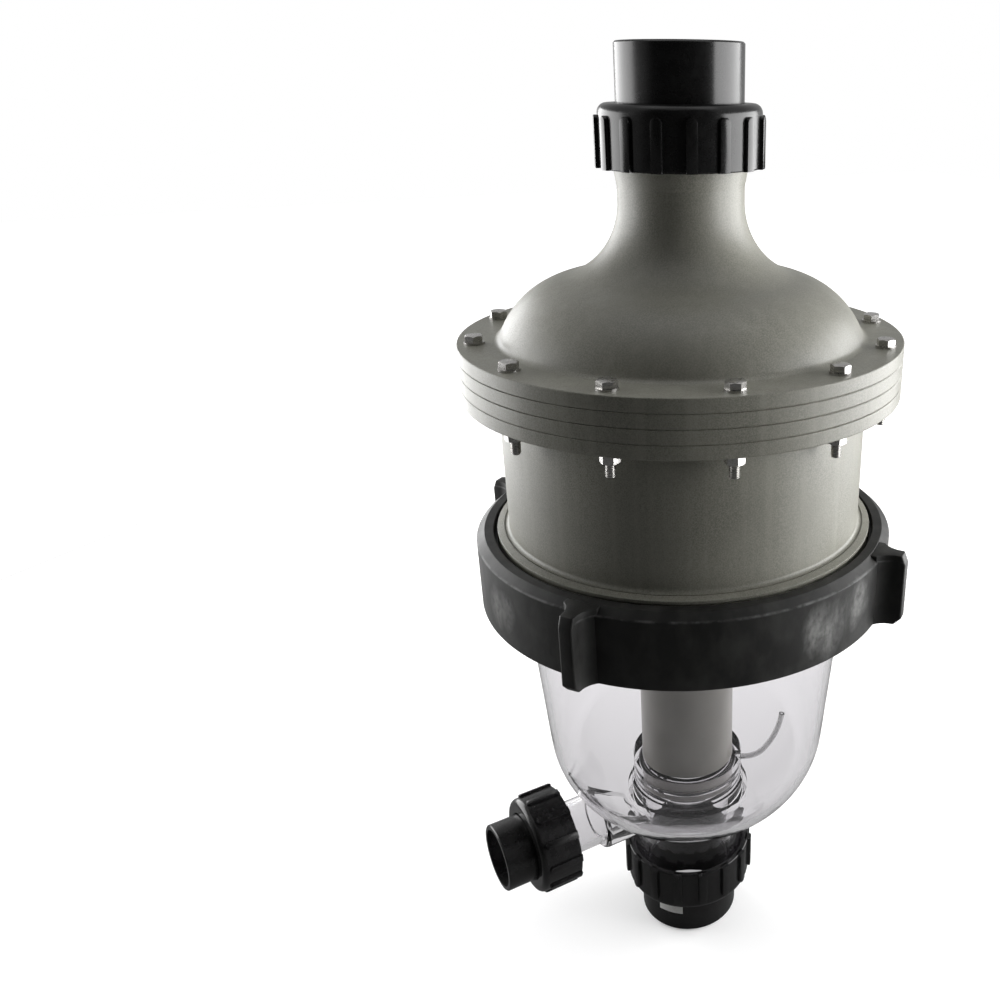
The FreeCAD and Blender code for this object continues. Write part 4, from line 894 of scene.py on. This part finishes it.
class PREFILTER_OT_bowl(bpy.types.Operator):
    """Builds the clear bowl from its solid, with threads cut into its two ends"""
    bl_idname = "prefilter.bowl"
    bl_label = "Clear bowl"
    bl_options = {"REGISTER", "UNDO"}

    def execute(self, context):
        pitch = context.scene.prefilter.threads.union_pitch / MM
        clear = finish("clear_bowl")
        shape = bmesh.new()
        shape.from_mesh(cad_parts["clear_bowl"].data)
        bmesh.ops.remove_doubles(shape, verts=shape.verts, dist=MERGE)
        nipple_root, nipple_end = PIPE_THREAD[0], LOWER_FACE + 19.4
        stub_root, stub_crest, stub_start = DRAIN_THREAD[0], 30, -109
        for vert in shape.verts:
            x, y, z = (value / MM for value in vert.co)
            across = math.hypot(x, y)
            if z < nipple_end and across > nipple_root:
                vert.co.x *= nipple_root / across
                vert.co.y *= nipple_root / across
            out = math.hypot(y, z - DRAIN_LEVEL)
            if x < stub_start and stub_root < out < stub_crest:
                vert.co.y *= stub_root / out
                vert.co.z = (DRAIN_LEVEL + (z - DRAIN_LEVEL) * stub_root / out) * MM
        body = bpy.data.meshes.new("bowl")
        shape.to_mesh(body)
        shape.free()
        lower = moved(thread(clear, *PIPE_THREAD, pitch, 18.6), upwards(0, 0, LOWER_FACE + 0.4))
        inward = Matrix.Rotation(math.radians(90), 4, "Y")
        drain = moved(
            thread(clear, *DRAIN_THREAD, pitch, 12.0), upwards(-DRAIN_FACE + 0.3, 0, DRAIN_LEVEL) @ inward)
        add_piece("bowl_shell", [body, lower, drain], clear, "bowl", ["clear_bowl"])
        return {"FINISHED"}


class PREFILTER_OT_unions(bpy.types.Operator):
    """Builds the three ribbed union nuts"""
    bl_idname = "prefilter.unions"
    bl_label = "Union nuts"
    bl_options = {"REGISTER", "UNDO"}

    def execute(self, context):
        own = context.scene.prefilter.unions
        black = finish("black_union")
        upper = upwards(0, 0, UPPER_FACE)
        lower = upwards(0, 0, LOWER_FACE) @ Matrix.Rotation(math.radians(180), 4, "X")
        side = upwards(-DRAIN_FACE, 0, DRAIN_LEVEL) @ Matrix.Rotation(math.radians(-90), 4, "Y")
        for name, sizes, ribs, rib_angle, place in (
            ("outlet", PIPE_NUT, own.pipe_ribs, own.outlet_angle, upper),
            ("inlet", PIPE_NUT, own.pipe_ribs, own.inlet_angle, lower),
            ("drain", DRAIN_NUT, own.drain_ribs, own.drain_angle, side),
        ):
            meshes = [moved(mesh, place) for mesh in nut_meshes(sizes, ribs, rib_angle, black)]
            replaced = [f"{name}_union_nut"]
            add_piece(f"{name}_nut_ribbed", meshes, black, f"{name}_nut", replaced)
        return {"FINISHED"}


class PREFILTER_OT_fasteners(bpy.types.Operator):
    """Builds the flange bolts and their nuts"""
    bl_idname = "prefilter.fasteners"
    bl_label = "Flange bolts and nuts"
    bl_options = {"REGISTER", "UNDO"}

    def execute(self, context):
        settings = context.scene.prefilter
        own = settings.fasteners
        steel = finish("stainless")
        flats = own.flats / MM
        pitch = settings.threads.bolt_pitch / MM
        head_height, nut_height, washer = 4, 5.5, 1.2
        outside, root, point, centre = 3.0, 2.45, 2.1, 0.02
        end, threaded, runout, sunk = -50.4, 17.0, 0.5, 0.5
        head = hexagon_mesh(flats, 0, head_height, False, True)
        shank = turned([
            (centre, sunk),
            (outside, sunk),
            (outside, end + threaded),
            (root, end + threaded - runout),
            (root, end + runout),
            (point, end),
            (centre, end),
        ], steel, 24)
        winding = thread(steel, root, outside - root, pitch, threaded - runout, 16)
        moved(winding, upwards(0, 0, end))
        nut = hexagon_mesh(flats, -nut_height, 0, True, False, outside + 0.05)
        places = {"count": own.count, "radius": own.circle, "first_angle": own.first_angle}
        head_seat = (FLANGE_TOP + washer) * MM
        nut_seat = (FLANGE_BOTTOM - washer) * MM
        bolts = [
            grown(mesh, "Spread", steel, height=head_seat, turn_step=own.bolt_turn, **places)
            for mesh in (head, shank, winding)]
        nuts = grown(nut, "Spread", steel, height=nut_seat, turn_step=own.nut_turn, **places)
        add_piece("hex_bolts", bolts, steel, "housing", ["flange_bolts"])
        add_piece("hex_nuts", [nuts], steel, "housing", ["flange_nuts"])
        return {"FINISHED"}


class PREFILTER_OT_label(bpy.types.Operator):
    """Builds the bare label on the inlet tail"""
    bl_idname = "prefilter.label"
    bl_label = "Bare label"
    bl_options = {"REGISTER", "UNDO"}

    def execute(self, context):
        paper = finish("label_paper")
        first, last, steps = -158.5, -128.5, 16
        under, over, low, high = 37.4, 37.62, 17.0, 24.0
        section = ((under, low), (over, low), (over, high), (under, high))
        loops = []
        for k in range(steps + 1):
            turn = math.radians(first + (last - first) * k / steps)
            loops.append([(r * math.cos(turn), r * math.sin(turn), z) for r, z in section])
        add_piece("inlet_label", [layered_mesh(loops)], paper, "inlet_tail")
        return {"FINISHED"}


# Stage

class PREFILTER_OT_stage(bpy.types.Operator):
    """Sets up the floor, the lamps, the room's light and the camera"""
    bl_idname = "prefilter.stage"
    bl_label = "Stage"
    bl_options = {"REGISTER", "UNDO"}

    def execute(self, context):
        own = context.scene.prefilter.stage
        add_floor(own.view_angle)
        light_room(own)
        for name, across, size, height, radiance in (
            ("left_lamp", math.radians(-115), (1.3, 0.95), 0.4, own.left_light),
            ("right_lamp", math.radians(98), (1.4, 0.95), 0.42, own.right_light),
        ):
            spot = Vector(heading(own.view_angle + across)) * 1.05 + Vector((0, 0, height))
            add_lamp(name, spot, Vector((0, 0, 0.34)), size, radiance)
        add_lamp("top_lamp", Vector((0, 0, 1.7)), Vector((0, 0, 0.3)), (1.1, 1.1), own.top_light)
        add_camera(own.view_angle)
        bpy.context.scene.view_settings.view_transform = "Standard"
        return {"FINISHED"}


def add_lamp(name, spot, target, size, radiance):
    """A soft rectangular lamp that camera rays don't meet."""
    lamp = bpy.data.lights.new(name, "AREA")
    lamp.shape = "RECTANGLE"
    lamp.size, lamp.size_y = size
    lamp.energy = radiance * math.pi * size[0] * size[1]
    item = bpy.data.objects.new(name, lamp)
    item.location = spot
    item.rotation_euler = (target - spot).to_track_quat("-Z", "Y").to_euler()
    item.visible_camera = False
    item.visible_transmission = False
    bpy.context.scene.collection.objects.link(item)


def heading(view_angle):
    """The level way from the object to the photographer."""
    facing = view_angle - math.pi / 2
    return math.cos(facing), math.sin(facing), 0


def along(tree, vector, way):
    """How far a vector goes one way."""
    return add(tree, "ShaderNodeVectorMath", {0: vector, 1: way}, operation="DOT_PRODUCT").outputs["Value"]


def seen_rays(tree):
    """What the camera sees straight, what is seen through clear plastic, and what gloss sees."""
    rays = add(tree, "ShaderNodeLightPath").outputs
    return rays["Is Camera Ray"], rays["Is Transmission Ray"], rays["Is Glossy Ray"]


def add_floor(view_angle):
    """A pale floor that shows white to the camera and keeps the shadow."""
    half = 5.0
    corners = [(-half, -half, 0), (half, -half, 0), (half, half, 0), (-half, half, 0)]
    mesh = bpy.data.meshes.new("floor")
    mesh.from_pydata(corners, [], [(0, 1, 2, 3)])
    material, tree, shader, spot = new_finish("pale_floor")
    cloud = noise(tree, spot, 3, 2)
    direct, through, glossy = seen_rays(tree)
    base = blended(tree, ranged(tree, cloud, 0.3, 0.7), (0.78, 0.78, 0.78), (0.8, 0.8, 0.8))
    base = blended(tree, direct, (0.12, 0.12, 0.12), base)
    tree.links.new(base, shader.inputs["Base Color"])
    shader.inputs["Roughness"].default_value = 0.9
    away = add(tree, "ShaderNodeVectorMath", {0: spot}, operation="LENGTH").outputs["Value"]
    glow = calc(tree, "MULTIPLY", direct, ranged(tree, away, 0.3, 2.0, 0.25, 1.0))
    front = along(tree, spot, heading(view_angle))
    # painted shadow: the floor's glow seen through the clear bowl is dim in front of the object and just
    # behind it, brighter further behind
    through_glow_painted_shadow = calc(tree, "MULTIPLY", through, ranged(tree, front, 0.1, -0.5, 0.3, 0.82))
    glow = calc(tree, "ADD", glow, through_glow_painted_shadow)
    glow = calc(tree, "ADD", glow, calc(tree, "MULTIPLY", glossy, 0.04))
    tree.links.new(glow.outputs[0], shader.inputs["Emission Strength"])
    shader.inputs["Emission Color"].default_value = (1, 1, 1, 1)
    mesh.materials.append(material)
    floor = bpy.data.objects.new("floor", mesh)
    bpy.context.scene.collection.objects.link(floor)


def light_room(own):
    """A white room for the camera, darker behind the camera where gloss reflects it."""
    world = bpy.data.worlds.new("room")
    bpy.context.scene.world = world
    world.use_nodes = True
    tree = world.node_tree
    tree.nodes.clear()
    way = add(tree, "ShaderNodeTexCoord").outputs["Generated"]
    flat = add(tree, "ShaderNodeVectorMath", {0: way, 1: (1, 1, 0)}, operation="MULTIPLY")
    level = add(tree, "ShaderNodeVectorMath", {0: flat}, operation="NORMALIZE")
    towards = heading(own.view_angle)
    ahead, drop = math.cos(VIEW_TILT), math.sin(VIEW_TILT)
    beyond = (-ahead * towards[0], -ahead * towards[1], -drop)
    onward = along(tree, way, beyond)
    near = along(tree, level, towards)
    mirrored = ranged(tree, near, 0.4, 0.7, 0.5, 0.02)
    dimmed = ranged(tree, near, -0.7, 0.8, own.room_light * 4.0, own.room_light * 0.03)
    beyond_bowl = ranged(tree, onward, 0.5, 0.75, 0.02, 0.84)
    even, glossy, clear, white = (
        add(tree, "ShaderNodeBackground", {"Color": (1, 1, 1, 1), "Strength": strength})
        for strength in (dimmed, mirrored, beyond_bowl, 1.0))
    direct, through, gloss = seen_rays(tree)
    shown = add(tree, "ShaderNodeMixShader", {0: gloss, 1: even, 2: glossy})
    shown = add(tree, "ShaderNodeMixShader", {0: through, 1: shown, 2: clear})
    shown = add(tree, "ShaderNodeMixShader", {0: direct, 1: shown, 2: white})
    add(tree, "ShaderNodeOutputWorld", {"Surface": shown})


def add_camera(view_angle):
    """The photograph's camera."""
    camera = bpy.data.cameras.new("camera")
    camera.sensor_width = 36.0
    camera.lens = 34.654
    camera.shift_x = -0.2292
    camera.shift_y = -0.0016
    camera.clip_start = 0.01
    item = bpy.data.objects.new("camera", camera)
    around = Matrix.Rotation(view_angle, 4, "Z")
    tilt = Matrix.Rotation(math.pi / 2 - VIEW_TILT, 4, "X")
    roll = Matrix.Rotation(math.radians(0.502), 4, "Z")
    item.matrix_world = around @ Matrix.Translation((0.0305, -0.6023, 0.6206)) @ tilt @ roll
    bpy.context.scene.collection.objects.link(item)
    bpy.context.scene.camera = item


class PREFILTER_PT_panel(bpy.types.Panel):
    """Lists the steps that dress the prefilter"""
    bl_idname = "PREFILTER_PT_panel"
    bl_label = "Prefilter"
    bl_space_type = "VIEW_3D"
    bl_region_type = "UI"
    bl_category = "Prefilter"

    def draw(self, context):
        for step in STEPS:
            self.layout.operator(step.bl_idname)
        settings = context.scene.prefilter
        for name in ("colours", "threads", "fasteners", "unions", "stage"):
            group = getattr(settings, name)
            box = self.layout.box()
            for key in group.bl_rna.properties.keys():
                if key not in ("rna_type", "name"):
                    box.prop(group, key)


STEPS = (
    PREFILTER_OT_trees, PREFILTER_OT_carried, PREFILTER_OT_dome, PREFILTER_OT_body, PREFILTER_OT_ring,
    PREFILTER_OT_bowl, PREFILTER_OT_unions, PREFILTER_OT_fasteners, PREFILTER_OT_label, PREFILTER_OT_stage,
)
GROUPS = (
    PrefilterColours, PrefilterThreads, PrefilterFasteners, PrefilterUnions, PrefilterStage,
    PrefilterSettings,
)


def register():
    for item in (*GROUPS, *STEPS, PREFILTER_PT_panel):
        bpy.utils.register_class(item)
    bpy.types.Scene.prefilter = PointerProperty(type=PrefilterSettings)


def unregister():
    del bpy.types.Scene.prefilter
    for item in reversed((*GROUPS, *STEPS, PREFILTER_PT_panel)):
        bpy.utils.unregister_class(item)


def main():
    """Registers the classes and runs every step in order."""
    register()
    for step in STEPS:
        group, name = step.bl_idname.split(".")
        getattr(getattr(bpy.ops, group), name)()


if __name__ == "__main__":
    main()
